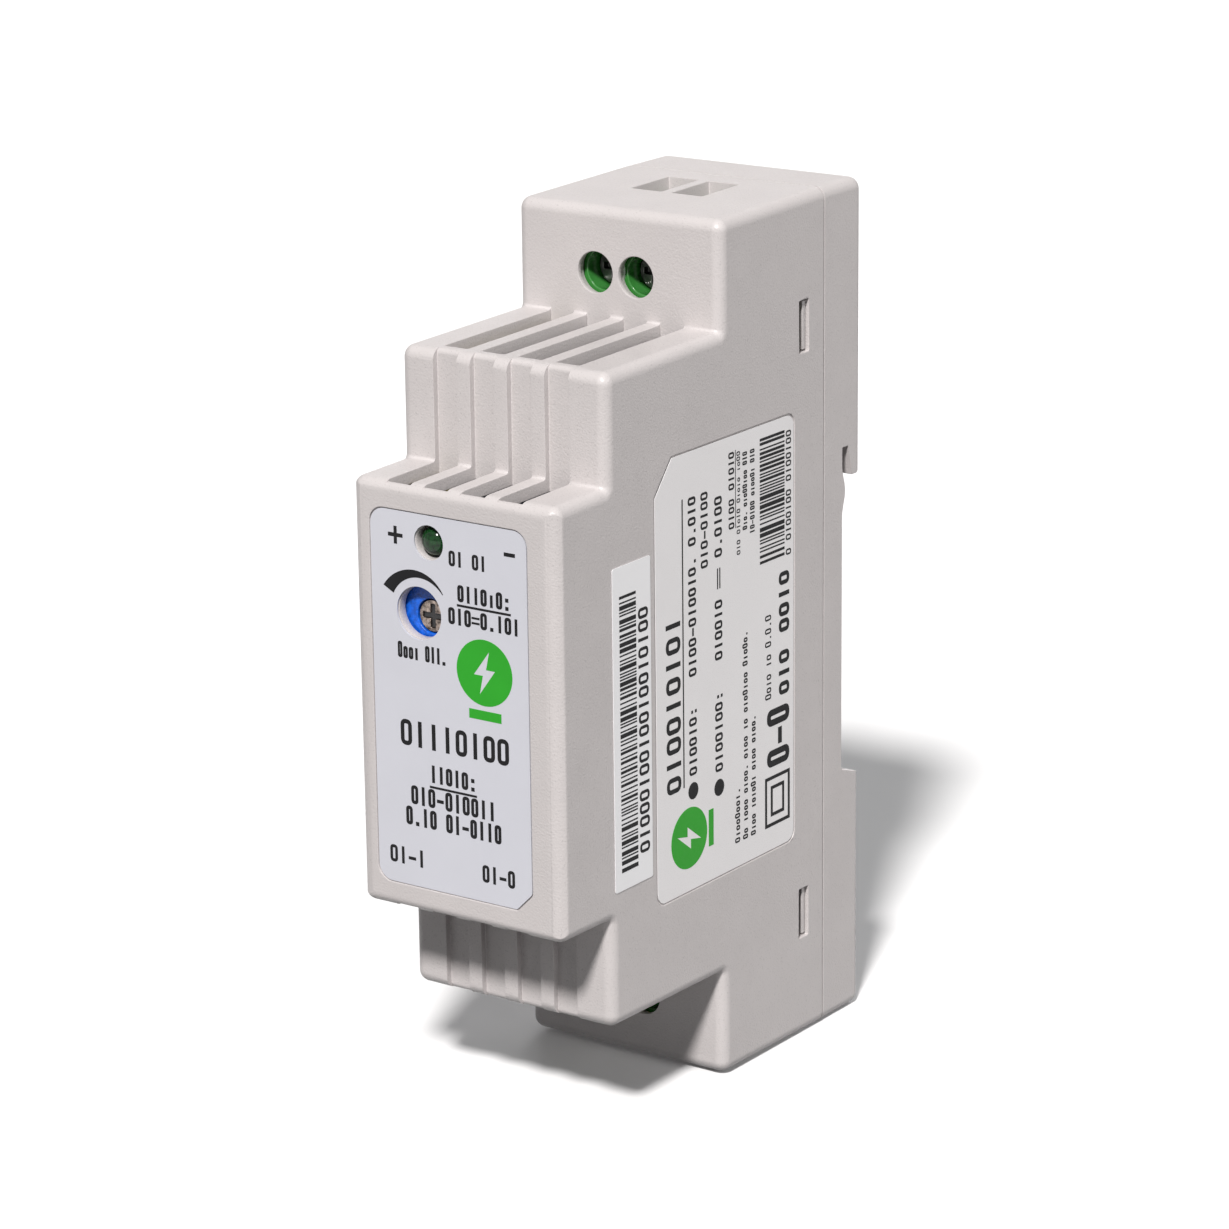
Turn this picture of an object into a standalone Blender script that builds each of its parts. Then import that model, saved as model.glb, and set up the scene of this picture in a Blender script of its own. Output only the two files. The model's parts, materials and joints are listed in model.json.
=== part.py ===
"""DIN rail power supply, one and a half modules wide: a stepped two-piece case with its rail
latch, two screw terminal blocks, an output trimmer, a signal LED and the circuit inside.

Metres, +Z up. The origin is the middle of the rail seat: +Y points into the rail, so the
front panel faces -Y. The output terminals are at the top and the input terminals below."""

import math

import bmesh
import bpy
from mathutils import Matrix, Vector

MM = 0.001

# Case: depths along Y, and half heights at the parting plane, which the draft then reduces.
WIDTH = 25.5 * MM
HALF = WIDTH / 2
FRONT_Y = -52.1 * MM  # front panel
STEP_Y = -43.55 * MM  # middle step
TERM_Y = -23.25 * MM  # terminal face
PART_Y = -3.75 * MM  # parting plane between the front housing and the rear cover
BACK_Y = 3.9 * MM
NOSE_Z = 23.4 * MM
MID_Z = 35.0 * MM
TERM_Z = 46.5 * MM
DRAFT = 0.0175
WALL = 1.4 * MM
EDGE_R = 1.0 * MM
PART_GAP = 0.1 * MM
FIT = 0.1 * MM  # gap between still pieces that touch
OVER = 2 * MM  # how far a cutter runs past what it cuts

# The circuit sits a little to the left of the case's middle, and so do the vents.
CIRCUIT_X = -0.3 * MM
VENT_X = -0.15 * MM

# Vents: slots through the top of each step, joined by shallow grooves down its front.
VENT_COUNT = 4
VENT_PITCH = 4.6 * MM
VENT_WIDTH = 2.9 * MM
GROOVE_DEPTH = 0.7 * MM
MID_LIP = 1.95 * MM  # between the middle step's front and its slots
NOSE_LIP = 0.9 * MM
LEDGE_DEPTH = 0.45 * MM  # of the shallow ledge in front of each nose slot

# Snap windows in the sides, which the cover's catches fill.
SNAP_Z = 32.45 * MM
SNAP_HEIGHT = 5.6 * MM
SNAP_Y = (-8.6 * MM, -6.75 * MM)

# Rail slot in the back, for a 35 mm rail 1 mm thick.
NOTCH_TOP_Z = 17.75 * MM
NOTCH_TOP_Y = 1.15 * MM
HOOK_Z = 14.4 * MM
HOOK_Y = 1.9 * MM
BUMP_Z = (10.1 * MM, 15.8 * MM)
BUMP_HEIGHT = 0.6 * MM
LEDGE_Z = -18.3 * MM
LEDGE_DROP = 1.05 * MM  # how much lower the ledge is at the back face

# Rail latch: a slider in a T-shaped channel of the rear cover.
CHANNEL_Y = (1.1 * MM, 3.0 * MM)
CHANNEL_HALF = 5.75 * MM
CHANNEL_MOUTH = 4.6 * MM
SLIDE_GAP = 0.15 * MM
LATCH_TOP_Z = -16.2 * MM
LATCH_END_Z = -46.2 * MM
LATCH_TRAVEL = 2.6 * MM
WINDOW_Z = (-37.2 * MM, -28.0 * MM)
WINDOW_HALF = 1.6 * MM
BOSS_Z = (-37.0 * MM, -35.6 * MM)
SPRING_Y = 2.3 * MM
SPRING_R = 0.95 * MM
SPRING_WIRE = 0.17 * MM
SPRING_TURNS = 6

# Terminals: two poles in each block, screws facing the front and wires from top and bottom.
POLE_PITCH = 5.08 * MM
TERMINAL_Z = 39.2 * MM
HOLE_R = 2.17 * MM
WIRE_Y = (-13.9 * MM, -6.9 * MM)
WIRE_WIDTH = 3.8 * MM
DUCT_Z = 43.7 * MM  # inner end of the walls round the wire windows
DUCT_Y = (-15.3 * MM, -6.1 * MM)
BLOCK_Y = (-21.6 * MM, -6.0 * MM)
BLOCK_Z = (35.3 * MM, 43.55 * MM)
CHAMBER_Y = (-17.4 * MM, -7.1 * MM)
CHAMBER_Z = (35.75 * MM, 41.6 * MM)
CHAMBER_HALF = 2.05 * MM
SCREW_R = 1.25 * MM  # M2.5
SCREW_HEAD_R = 1.9 * MM
SCREW_HEAD_Y = (-19.7 * MM, -18.15 * MM)
CAGE_Y = (-14.3 * MM, -7.3 * MM)
BAR_Y = (-13.0 * MM, -12.0 * MM)

# Front panel: label, LED and trimmer.
LABEL_X = (-10.35 * MM, 9.0 * MM)
LABEL_Z = 19.7 * MM
LABEL_CORNER = 1.7 * MM
LABEL_CHAMFER = 1.9 * MM
RECESS = 0.33 * MM
SHEET = 0.2 * MM

# Rating label in a recess of the right side, and the serial number's strip in front of it.
SIDE_Y = (-35.25 * MM, -9.65 * MM)
SIDE_Z = (-23.4 * MM, 23.5 * MM)
SIDE_CORNER = 1.3 * MM
SIDE_CHAMFER = (3.05 * MM, 3.6 * MM)
SIDE_RECESS = 0.2 * MM
STRIP_Y = (-42.95 * MM, -36.3 * MM)
STRIP_Z = (-19.7 * MM, 14.4 * MM)
FILM = 0.1 * MM

LED_AT = (-3.06 * MM, 16.9 * MM)
LED_R = 1.5 * MM
LED_HOLE_R = 1.72 * MM
TRIMMER_HOLE_AT = (-4.44 * MM, 9.4 * MM)
TRIMMER_AT = (-4.0 * MM, 8.8 * MM)  # a little off the middle of its hole
TRIMMER_HALF = 3.2 * MM
TRIMMER_HOLE_R = 2.68 * MM
TRIMMER_Y = (-50.5 * MM, -45.5 * MM)
ROTOR_R = 1.65 * MM

# Circuit boards: one across the back, one along the left side.
MAIN_BOARD_Y = (-5.8 * MM, -4.2 * MM)
MAIN_BOARD_HALF = 9.5 * MM
POWER_BOARD_X = (-9.2 * MM, -7.6 * MM)
BOARD_TOP_X = -7.5 * MM  # where the power board's components start

PARTS = "din_rail_power_supply"
CUTTERS = "cutters"
AXES = {
    "X": Matrix(((0, 0, 1), (1, 0, 0), (0, 1, 0))),
    "Y": Matrix(((1, 0, 0), (0, 0, -1), (0, 1, 0))),
    "Z": Matrix.Identity(3),
}


# Scene and objects


def clear_scene():
    for old in list(bpy.data.objects):
        bpy.data.objects.remove(old, do_unlink=True)
    for old in list(bpy.data.collections):
        bpy.data.collections.remove(old)
    for name in (PARTS, CUTTERS):
        bpy.context.scene.collection.children.link(bpy.data.collections.new(name))
    bpy.data.collections[CUTTERS].hide_render = True


def material(name, colour, roughness=0.5, metallic=0.0):
    made = bpy.data.materials.get(name) or bpy.data.materials.new(name)
    made.use_nodes = True
    shader = made.node_tree.nodes["Principled BSDF"]
    shader.inputs["Base Color"].default_value = (*colour, 1)
    shader.inputs["Roughness"].default_value = roughness
    shader.inputs["Metallic"].default_value = metallic
    return made


def make_object(name, mesh, origin=(0, 0, 0)):
    """An object in the cutters' collection, until finish() makes it a part."""
    mesh.transform(Matrix.Translation(-Vector(origin)))
    mesh.shade_smooth()
    mesh.set_sharp_from_angle(angle=math.radians(35))
    made = bpy.data.objects.new(name, mesh)
    made.location = origin
    made.hide_render = True
    made.display_type = "WIRE"
    bpy.data.collections[CUTTERS].objects.link(made)
    return made


def finish(piece, surface):
    """Makes the object a part of the assembly, with its material."""
    bpy.data.collections[CUTTERS].objects.unlink(piece)
    bpy.data.collections[PARTS].objects.link(piece)
    piece.hide_render = False
    piece.display_type = "TEXTURED"
    piece.data.materials.clear()
    piece.data.materials.append(surface)
    return piece


def mesh_of(build):
    made = bpy.data.meshes.new("shape")
    shape = bmesh.new()
    build(shape)
    bmesh.ops.recalc_face_normals(shape, faces=shape.faces)
    shape.to_mesh(made)
    shape.free()
    return made


# Shapes


def box(name, x, y, z, origin=(0, 0, 0)):
    """A box from three (low, high) pairs."""
    middle = Vector([(low + high) / 2 for low, high in (x, y, z)])
    size = [abs(high - low) for low, high in (x, y, z)]
    place = Matrix.Translation(middle) @ Matrix.Diagonal((*size, 1))
    made = mesh_of(lambda shape: bmesh.ops.create_cube(shape, size=1, matrix=place))
    return make_object(name, made, origin)


def cylinder(name, axis, at, span, radius, segments=24, origin=(0, 0, 0), end_radius=None):
    """A cylinder or cone along an axis; at is its place on the other two axes, in their order."""
    low, high = span
    turn = AXES[axis].to_4x4()
    flat = AXES[axis] @ Vector((at[0], at[1], 0))
    along = Vector([1.0 if letter == axis else 0.0 for letter in "XYZ"])
    sign = along.dot(AXES[axis] @ Vector((0, 0, 1)))
    radii = (radius, radius if end_radius is None else end_radius)
    if sign < 0:
        radii = radii[::-1]
    place = Matrix.Translation(flat + along * (low + high) / 2) @ turn

    def build(shape):
        bmesh.ops.create_cone(shape, cap_ends=True, segments=segments, radius1=radii[0],
                              radius2=radii[1], depth=high - low, matrix=place)

    return make_object(name, mesh_of(build), origin)


def prism(name, axis, outline, span, origin=(0, 0, 0)):
    """An outline in the plane across an axis (YZ, XZ or XY), filled and extruded over span."""
    low, high = span
    curve = bpy.data.curves.new(name, "CURVE")
    curve.dimensions = "2D"
    curve.fill_mode = "BOTH"
    curve.extrude = (high - low) / 2
    spline = curve.splines.new("POLY")
    spline.points.add(len(outline) - 1)
    for point, (across, up) in zip(spline.points, outline):
        point.co = (across, up, 0, 1)
    spline.use_cyclic_u = True
    guide = bpy.data.objects.new(name, curve)
    bpy.data.collections[CUTTERS].objects.link(guide)
    made = bpy.data.meshes.new_from_object(
        guide.evaluated_get(bpy.context.evaluated_depsgraph_get()))
    bpy.data.objects.remove(guide)
    bpy.data.curves.remove(curve)
    shape = bmesh.new()
    shape.from_mesh(made)
    bmesh.ops.remove_doubles(shape, verts=shape.verts, dist=1e-7)
    bmesh.ops.dissolve_limit(shape, angle_limit=math.radians(0.2), verts=shape.verts,
                             edges=shape.edges)
    along = Vector([1.0 if letter == axis else 0.0 for letter in "XYZ"])
    middle = Matrix.Translation(along * (low + high) / 2)
    bmesh.ops.transform(shape, matrix=middle @ AXES[axis].to_4x4(), verts=shape.verts)
    bmesh.ops.recalc_face_normals(shape, faces=shape.faces)
    shape.to_mesh(made)
    shape.free()
    return make_object(name, made, origin)


def tube_along(name, points, radius, origin=(0, 0, 0)):
    """A round wire along points, as a mesh."""
    curve = bpy.data.curves.new(name, "CURVE")
    curve.dimensions = "3D"
    curve.bevel_depth = radius
    curve.bevel_resolution = 1
    curve.use_fill_caps = True
    spline = curve.splines.new("POLY")
    spline.points.add(len(points) - 1)
    for point, at in zip(spline.points, points):
        point.co = (*at, 1)
    guide = bpy.data.objects.new(name, curve)
    bpy.data.collections[CUTTERS].objects.link(guide)
    made = bpy.data.meshes.new_from_object(
        guide.evaluated_get(bpy.context.evaluated_depsgraph_get()))
    bpy.data.objects.remove(guide)
    bpy.data.curves.remove(curve)
    shape = bmesh.new()
    shape.from_mesh(made)
    bmesh.ops.remove_doubles(shape, verts=shape.verts, dist=1e-7)
    bmesh.ops.recalc_face_normals(shape, faces=shape.faces)
    shape.to_mesh(made)
    shape.free()
    return make_object(name, made, origin)


def boolean(target, tool, operation):
    step = target.modifiers.new(tool.name, "BOOLEAN")
    step.operation = operation
    step.solver = "EXACT"
    step.object = tool


def cut(target, *tools):
    for tool in tools:
        boolean(target, tool, "DIFFERENCE")


def join(target, *tools):
    for tool in tools:
        boolean(target, tool, "UNION")


def bevel(target, width, segments=2):
    step = target.modifiers.new("edges", "BEVEL")
    step.width = width
    step.segments = segments
    step.limit_method = "ANGLE"
    step.angle_limit = math.radians(30)
    step.harden_normals = False


def around(middle, width):
    return (middle - width / 2, middle + width / 2)


def arc(centre, radius, start, end, steps=4):
    """Points of an arc, angles in degrees."""
    angles = [math.radians(start + (end - start) * i / steps) for i in range(steps + 1)]
    return [(centre[0] + radius * math.cos(a), centre[1] + radius * math.sin(a)) for a in angles]


def rounded(corners, steps=4):
    """An outline through (across, up, radius) corners, each rounded by an arc."""
    points = []
    for i, (across, up, radius) in enumerate(corners):
        here = Vector((across, up))
        back = (Vector(corners[i - 1][:2]) - here).normalized()
        ahead = (Vector(corners[(i + 1) % len(corners)][:2]) - here).normalized()
        half = back.angle(ahead) / 2
        middle = here + (back + ahead).normalized() * (radius / math.sin(half))
        start = here + back * (radius / math.tan(half)) - middle
        end = here + ahead * (radius / math.tan(half)) - middle
        turn = start.angle_signed(end)
        for step in range(steps + 1):
            spoke = start.copy()
            spoke.rotate(Matrix.Rotation(-turn * step / steps, 2))
            points.append(tuple(middle + spoke))
    return points


# Case


def height(half_height, y):
    """A zone's half height at y, less the draft forward of the parting plane."""
    return half_height - DRAFT * max(0, PART_Y - y)


def stepped_outline(inset, back_y):
    """The case seen from the side, in (y, z), drawn in by inset."""
    front, step, term = FRONT_Y + inset, STEP_Y + inset, TERM_Y + inset
    upper = [
        (back_y, TERM_Z - inset),
        (PART_Y, TERM_Z - inset),
        (term, height(TERM_Z, term) - inset),
        (term, height(MID_Z, term) - inset),
        (step, height(MID_Z, step) - inset),
        (step, height(NOSE_Z, step) - inset),
        (front, height(NOSE_Z, front) - inset),
    ]
    return upper + [(y, -z) for y, z in reversed(upper)]


def case_blank(name):
    """The whole outer body, which the front housing and the rear cover are halves of."""
    blank = prism(name, "X", stepped_outline(0, BACK_Y), (-HALF, HALF))
    bevel(blank, EDGE_R)
    return blank


NOSE_SLOT = [  # one ledge, nose slot and groove, in (y, z)
    (FRONT_Y - OVER, height(NOSE_Z, FRONT_Y) - LEDGE_DEPTH),
    (FRONT_Y + NOSE_LIP, height(NOSE_Z, FRONT_Y) - LEDGE_DEPTH),
    (FRONT_Y + NOSE_LIP, NOSE_Z - WALL - OVER),
    (STEP_Y + GROOVE_DEPTH, NOSE_Z - WALL - OVER),
    (STEP_Y + GROOVE_DEPTH, MID_Z - EDGE_R),
    (STEP_Y - OVER, MID_Z - EDGE_R),
    (STEP_Y - OVER, NOSE_Z + EDGE_R),
    (FRONT_Y - OVER, NOSE_Z + EDGE_R),
]


def vent_cutters(side):
    """Slots and grooves of one end: side is 1 for the top and -1 for the bottom."""
    tools = []
    for i in range(VENT_COUNT):
        x = around(VENT_X + (i - (VENT_COUNT - 1) / 2) * VENT_PITCH, VENT_WIDTH)
        tag = f"{'top' if side > 0 else 'bottom'}_{i}"
        mid_z = (side * (MID_Z - WALL - OVER), side * (MID_Z + EDGE_R))
        tools += [
            box(f"mid_slot_{tag}", x, (STEP_Y + MID_LIP, TERM_Y), sorted(mid_z)),
            prism(f"nose_slot_{tag}", "X", [(y, side * z) for y, z in NOSE_SLOT], x),
        ]
    return tools


def terminal_openings(side):
    """Screwdriver holes in the terminal face and wire windows in the end of the case."""
    tools = []
    for pole, x in enumerate(pole_places()):
        tag = f"{'top' if side > 0 else 'bottom'}_{pole}"
        tools += [
            cylinder(f"screw_hole_{tag}", "Y", (x, side * TERMINAL_Z),
                     (TERM_Y - OVER, TERM_Y + WALL + OVER / 2), HOLE_R, 32),
            box(f"wire_window_{tag}", around(x, WIRE_WIDTH), WIRE_Y,
                sorted((side * (DUCT_Z - OVER), side * (TERM_Z + OVER)))),
        ]
    return tools


def pole_places():
    return [CIRCUIT_X - POLE_PITCH / 2, CIRCUIT_X + POLE_PITCH / 2]


def label_outline(margin=0.0):
    """The front label, with its lower right corner cut off, in (x, z)."""
    left, right = LABEL_X[0] - margin, LABEL_X[1] + margin
    top, bottom = LABEL_Z + margin, -LABEL_Z - margin
    return rounded([
        (left, top, LABEL_CORNER), (left, bottom, LABEL_CORNER),
        (right - LABEL_CHAMFER, bottom, LABEL_CORNER / 4),
        (right, bottom + LABEL_CHAMFER, LABEL_CORNER / 4), (right, top, LABEL_CORNER),
    ])


def panel_holes(name, margin=0.0):
    """Cutters of the LED's and the trimmer's holes, through the front panel."""
    span = (FRONT_Y - OVER, FRONT_Y + WALL + OVER / 2)
    return [
        cylinder(f"{name}_led_hole", "Y", LED_AT, span, LED_HOLE_R + margin, 24),
        cylinder(f"{name}_trimmer_hole", "Y", TRIMMER_HOLE_AT, span, TRIMMER_HOLE_R + margin, 32),
    ]


def side_label_outline(margin=0.0):
    """The rating label, with its upper front corner cut off, in (y, z)."""
    front, back = SIDE_Y[0] - margin, SIDE_Y[1] + margin
    bottom, top = SIDE_Z[0] - margin, SIDE_Z[1] + margin
    cut_y, cut_z = SIDE_CHAMFER
    small = SIDE_CORNER / 4
    return rounded([
        (back, top, SIDE_CORNER), (front + cut_y, top, small), (front, top - cut_z, small),
        (front, bottom, SIDE_CORNER), (back, bottom, SIDE_CORNER),
    ])


def wire_duct(side):
    """The thick walls round both wire windows of one end."""
    reach = POLE_PITCH / 2 + WIRE_WIDTH / 2 + WALL / 2
    return box(f"wire_duct_{side}", around(CIRCUIT_X, 2 * reach), DUCT_Y,
               sorted((side * DUCT_Z, side * (TERM_Z - 1.1 * MM))))


def front_housing(surface):
    housing = case_blank("front_housing")
    past = HALF + OVER
    cut(housing, box("behind_parting", (-past, past), (PART_Y - PART_GAP / 2, BACK_Y + OVER),
                     (-TERM_Z - OVER, TERM_Z + OVER)))
    cut(housing, prism("housing_hollow", "X", stepped_outline(WALL, BACK_Y),
                       (-HALF + WALL, HALF - WALL)))
    for side in (1, -1):
        join(housing, wire_duct(side))
        cut(housing, *vent_cutters(side), *terminal_openings(side))
        for x in (-1, 1):
            cut(housing, box(f"snap_window_{x}_{side}", sorted((x * (HALF - WALL - OVER),
                             x * (HALF + OVER))), SNAP_Y, around(side * SNAP_Z, SNAP_HEIGHT)))
    cut(housing, prism("label_recess", "Y", label_outline(FIT),
                       (FRONT_Y - OVER, FRONT_Y + RECESS)))
    cut(housing, prism("side_recess", "X", side_label_outline(FIT),
                       (HALF - SIDE_RECESS, HALF + OVER)))
    cut(housing, *panel_holes("housing"))
    finish(housing, surface)


# Rear cover and rail latch


def rail_slot_outline():
    """What the rail slot takes out of the back, in (y, z), from the hook round to the ledge."""
    past = BACK_Y + OVER
    hook_r, ledge_r = 1.0 * MM, 0.8 * MM
    bump = [(BUMP_HEIGHT * (1 - math.cos(2 * math.pi * i / 8)) / 2,
             BUMP_Z[1] + (BUMP_Z[0] - BUMP_Z[1]) * i / 8) for i in range(9)]
    ledge_back = LEDGE_Z - LEDGE_DROP
    return (
        [(past, HOOK_Z + hook_r)]
        + arc((BACK_Y - hook_r, HOOK_Z + hook_r), hook_r, 0, -90)
        + [(HOOK_Y, HOOK_Z), (NOTCH_TOP_Y, NOTCH_TOP_Z), (0, NOTCH_TOP_Z)]
        + bump
        + [(0, LEDGE_Z)]
        + arc((BACK_Y - ledge_r, ledge_back - ledge_r), ledge_r, 75, 0)
        + [(past, ledge_back - ledge_r)]
    )


def snap_arm(cover, x_side, z_side):
    """A springy arm inside the housing's wall, with a catch that fills a snap window."""
    tag = f"{x_side}_{z_side}"
    inner, outer = HALF - WALL - 1.2 * MM, HALF - WALL - 0.15 * MM
    z = around(z_side * SNAP_Z, SNAP_HEIGHT + 1.4 * MM)
    foot_y = PART_Y + PART_GAP
    arm = box(f"arm_{tag}", sorted((x_side * inner, x_side * outer)),
              (SNAP_Y[0] - 0.6 * MM, foot_y + 1.5 * MM), z)
    foot = box(f"arm_foot_{tag}", sorted((x_side * inner, x_side * (outer + 0.6 * MM))),
               (foot_y, foot_y + 2.0 * MM), z)
    catch_top = HALF - 0.4 * MM
    catch = [(outer - 0.4 * MM, SNAP_Y[0] + 0.1 * MM), (catch_top, SNAP_Y[0] + 0.65 * MM),
             (catch_top, SNAP_Y[1] - 0.2 * MM), (outer - 0.4 * MM, SNAP_Y[1] - 0.2 * MM)]
    wedge = prism(f"catch_{tag}", "Z", [(x_side * x, y) for x, y in catch],
                  around(z_side * SNAP_Z, SNAP_HEIGHT - 0.4 * MM))
    join(cover, foot, arm, wedge)


def rear_cover(surface):
    cover = case_blank("rear_cover")
    past = HALF + OVER
    inside = (-HALF + WALL, HALF - WALL)
    start = PART_Y - OVER
    cut(cover, box("before_parting", (-past, past), (FRONT_Y - OVER, PART_Y + PART_GAP / 2),
                   (-TERM_Z - OVER, TERM_Z + OVER)))
    cut(cover, prism("rail_slot", "X", rail_slot_outline(), (-past, past)))
    floor_y = -WALL
    cut(cover, box("cover_hollow", inside, (start, floor_y), (-TERM_Z + WALL, TERM_Z - WALL)))
    cut(cover, box("hook_hollow", inside, (start, BACK_Y - WALL),
                   (NOTCH_TOP_Z + 1.8 * MM, TERM_Z - WALL)))
    pocket_x = CHANNEL_HALF + 1.2 * MM
    for side in (-1, 1):
        cut(cover, box(f"side_pocket_{side}", sorted((side * pocket_x, side * (HALF - WALL))),
                       (start, BACK_Y - WALL), (-TERM_Z + WALL, LEDGE_Z - LEDGE_DROP - WALL)))
    channel_z = (-TERM_Z - OVER, LEDGE_Z + OVER)
    cut(cover, box("channel", (-CHANNEL_HALF, CHANNEL_HALF), CHANNEL_Y, channel_z))
    cut(cover, box("channel_mouth", (-CHANNEL_MOUTH, CHANNEL_MOUTH),
                   (CHANNEL_Y[1] - FIT, BACK_Y + OVER), channel_z))
    boss_half = WINDOW_HALF - SLIDE_GAP
    join(cover, box("spring_boss", (-boss_half, boss_half),
                    (CHANNEL_Y[0] - 0.3 * MM, CHANNEL_Y[1] - SLIDE_GAP), BOSS_Z))
    for x in (-1, 1):
        for z in (-1, 1):
            snap_arm(cover, x, z)
            join(cover, cylinder(f"board_post_{x}_{z}", "Y", (x * 6 * MM, z * 14 * MM),
                                 (MAIN_BOARD_Y[1] + FIT, floor_y + 0.3 * MM), 1.5 * MM, 12))
    finish(cover, surface)


def rail_latch(surface):
    """The slider. Its origin is on the line that it slides along."""
    flange = CHANNEL_HALF - SLIDE_GAP
    rib = CHANNEL_MOUTH - SLIDE_GAP
    low_y, mid_y, high_y = CHANNEL_Y[0] + SLIDE_GAP, CHANNEL_Y[1] - SLIDE_GAP, BACK_Y - SLIDE_GAP
    origin = (0, SPRING_Y, LATCH_END_Z)
    shoulder_z = LEDGE_Z - LEDGE_DROP - 0.6 * MM
    latch = prism("rail_latch", "X", [
        (low_y, LATCH_END_Z), (high_y, LATCH_END_Z), (high_y, shoulder_z + 1.2 * MM),
        (low_y + 0.9 * MM, LATCH_TOP_Z), (low_y, LATCH_TOP_Z),
    ], (-rib, rib), origin)
    join(latch, box("latch_flange", (-flange, flange), (low_y, mid_y),
                    (LATCH_END_Z + 1.5 * MM, shoulder_z)))
    cut(latch, box("latch_window", (-WINDOW_HALF, WINDOW_HALF), (0, BACK_Y + OVER), WINDOW_Z))
    pry_z = LATCH_END_Z + 1.4 * MM
    cut(latch, box("pry_slot", (-2.5 * MM, 2.5 * MM), (low_y + 1.2 * MM, BACK_Y + OVER),
                   (pry_z, pry_z + 1.6 * MM)))
    finish(latch, surface)


def latch_spring(surface):
    """A compression spring between the boss and the upper edge of the latch's window."""
    low = BOSS_Z[1] + SPRING_WIRE + FIT
    high = WINDOW_Z[1] - SPRING_WIRE - FIT
    per_turn = 10
    steps = SPRING_TURNS * per_turn
    points = []
    for i in range(steps + 1):
        angle = 2 * math.pi * i / per_turn
        points.append((SPRING_R * math.cos(angle), SPRING_Y + SPRING_R * math.sin(angle),
                       low + (high - low) * i / steps))
    finish(tube_along("latch_spring", points, SPRING_WIRE, (0, SPRING_Y, low)), surface)


# Labels


def front_label(surface):
    label = prism("front_label", "Y", label_outline(),
                  (FRONT_Y + RECESS - FIT / 2 - SHEET, FRONT_Y + RECESS - FIT / 2))
    cut(label, *panel_holes("label", FIT))
    finish(label, surface)


def side_labels(surface):
    """The rating label in its recess, and the serial number's strip on the flat side."""
    sheet_x = (HALF - SIDE_RECESS + FIT / 2, HALF - SIDE_RECESS + FIT / 2 + FILM)
    finish(prism("side_label", "X", side_label_outline(), sheet_x), surface)
    strip_x = (HALF + FIT / 5, HALF + FIT / 5 + FILM / 2)
    finish(box("serial_label", strip_x, STRIP_Y, STRIP_Z), surface)


# Terminals


def terminal_block(name, side, surface):
    half_width = POLE_PITCH
    block = box(name, (CIRCUIT_X - half_width, CIRCUIT_X + half_width), BLOCK_Y,
                sorted(side * z for z in BLOCK_Z))
    for pole, x in enumerate(pole_places()):
        tag = f"{name}_{pole}"
        at = (x, side * TERMINAL_Z)
        shoulder_y = SCREW_HEAD_Y[1] + 0.15 * MM
        pin_z = sorted((side * CHAMBER_Z[0], side * (CHAMBER_Z[0] + 1.0 * MM)))
        cut(
            block,
            box(f"{tag}_chamber", around(x, 2 * CHAMBER_HALF), CHAMBER_Y,
                sorted(side * z for z in CHAMBER_Z)),
            box(f"{tag}_wire_entry", around(x, WIRE_WIDTH), (-13.3 * MM, -7.4 * MM),
                sorted((side * TERMINAL_Z, side * (BLOCK_Z[1] + OVER)))),
            cylinder(f"{tag}_head_hole", "Y", at, (BLOCK_Y[0] - OVER, shoulder_y), 2.1 * MM, 32),
            cylinder(f"{tag}_shank_hole", "Y", at, (shoulder_y - OVER, CHAMBER_Y[0] + FIT),
                     SCREW_R + 0.15 * MM, 24),
            box(f"{tag}_pin_hole", around(x, 1.4 * MM), (CHAMBER_Y[1] - FIT, BLOCK_Y[1] + OVER),
                pin_z),
        )
    finish(block, surface)


def terminal_screw(name, x, side, surface):
    """Head with a cross recess, and a shank. Its origin is on its axis, at the head's front."""
    at = (x, side * TERMINAL_Z)
    origin = (x, SCREW_HEAD_Y[0], side * TERMINAL_Z)
    screw = cylinder(name, "Y", at, SCREW_HEAD_Y, SCREW_HEAD_R, 32, origin)
    join(screw, cylinder(f"{name}_shank", "Y", at,
                         (SCREW_HEAD_Y[1] - 0.3 * MM, BAR_Y[0] - 0.3 * MM), SCREW_R, 20))
    slot_y = (SCREW_HEAD_Y[0] - OVER, SCREW_HEAD_Y[0] + 0.8 * MM)
    long, short = 2.8 * MM, 0.7 * MM
    cut(screw,
        box(f"{name}_slot_a", around(x, long), slot_y, around(at[1], short)),
        box(f"{name}_slot_b", around(x, short), slot_y, around(at[1], long)))
    finish(screw, surface)


def clamp_cage(name, x, side, surface):
    """A square ring that the screw draws forward, which presses the wire on the contact bar."""
    at = (x, side * TERMINAL_Z)
    half = CHAMBER_HALF - SLIDE_GAP
    z = around(side * TERMINAL_Z, 3.6 * MM)
    cage = box(name, around(x, 2 * half), CAGE_Y, z, (x, CAGE_Y[0], side * TERMINAL_Z))
    cut(cage,
        box(f"{name}_ring", around(x, 2 * (half - 0.5 * MM)),
            (CAGE_Y[0] + 1.0 * MM, CAGE_Y[1] - 0.8 * MM), around(side * TERMINAL_Z, 8 * MM)),
        cylinder(f"{name}_thread", "Y", at, (CAGE_Y[0] - OVER, CAGE_Y[0] + OVER),
                 SCREW_R + 0.1 * MM, 24))
    finish(cage, surface)


def contact_bar(name, x, side, surface):
    """A flat bar across the cage, and its pin through the main board."""
    z_in, z_out = CHAMBER_Z[0] + 0.15 * MM, CHAMBER_Z[1] - 0.3 * MM
    bar = box(name, around(x, 2.2 * MM), BAR_Y, sorted((side * z_in, side * z_out)))
    join(bar, box(f"{name}_pin", around(x, 1.0 * MM),
                  (BAR_Y[0] + FIT, MAIN_BOARD_Y[1] + 0.9 * MM),
                  sorted((side * z_in, side * (z_in + 0.7 * MM)))))
    finish(bar, surface)


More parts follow.
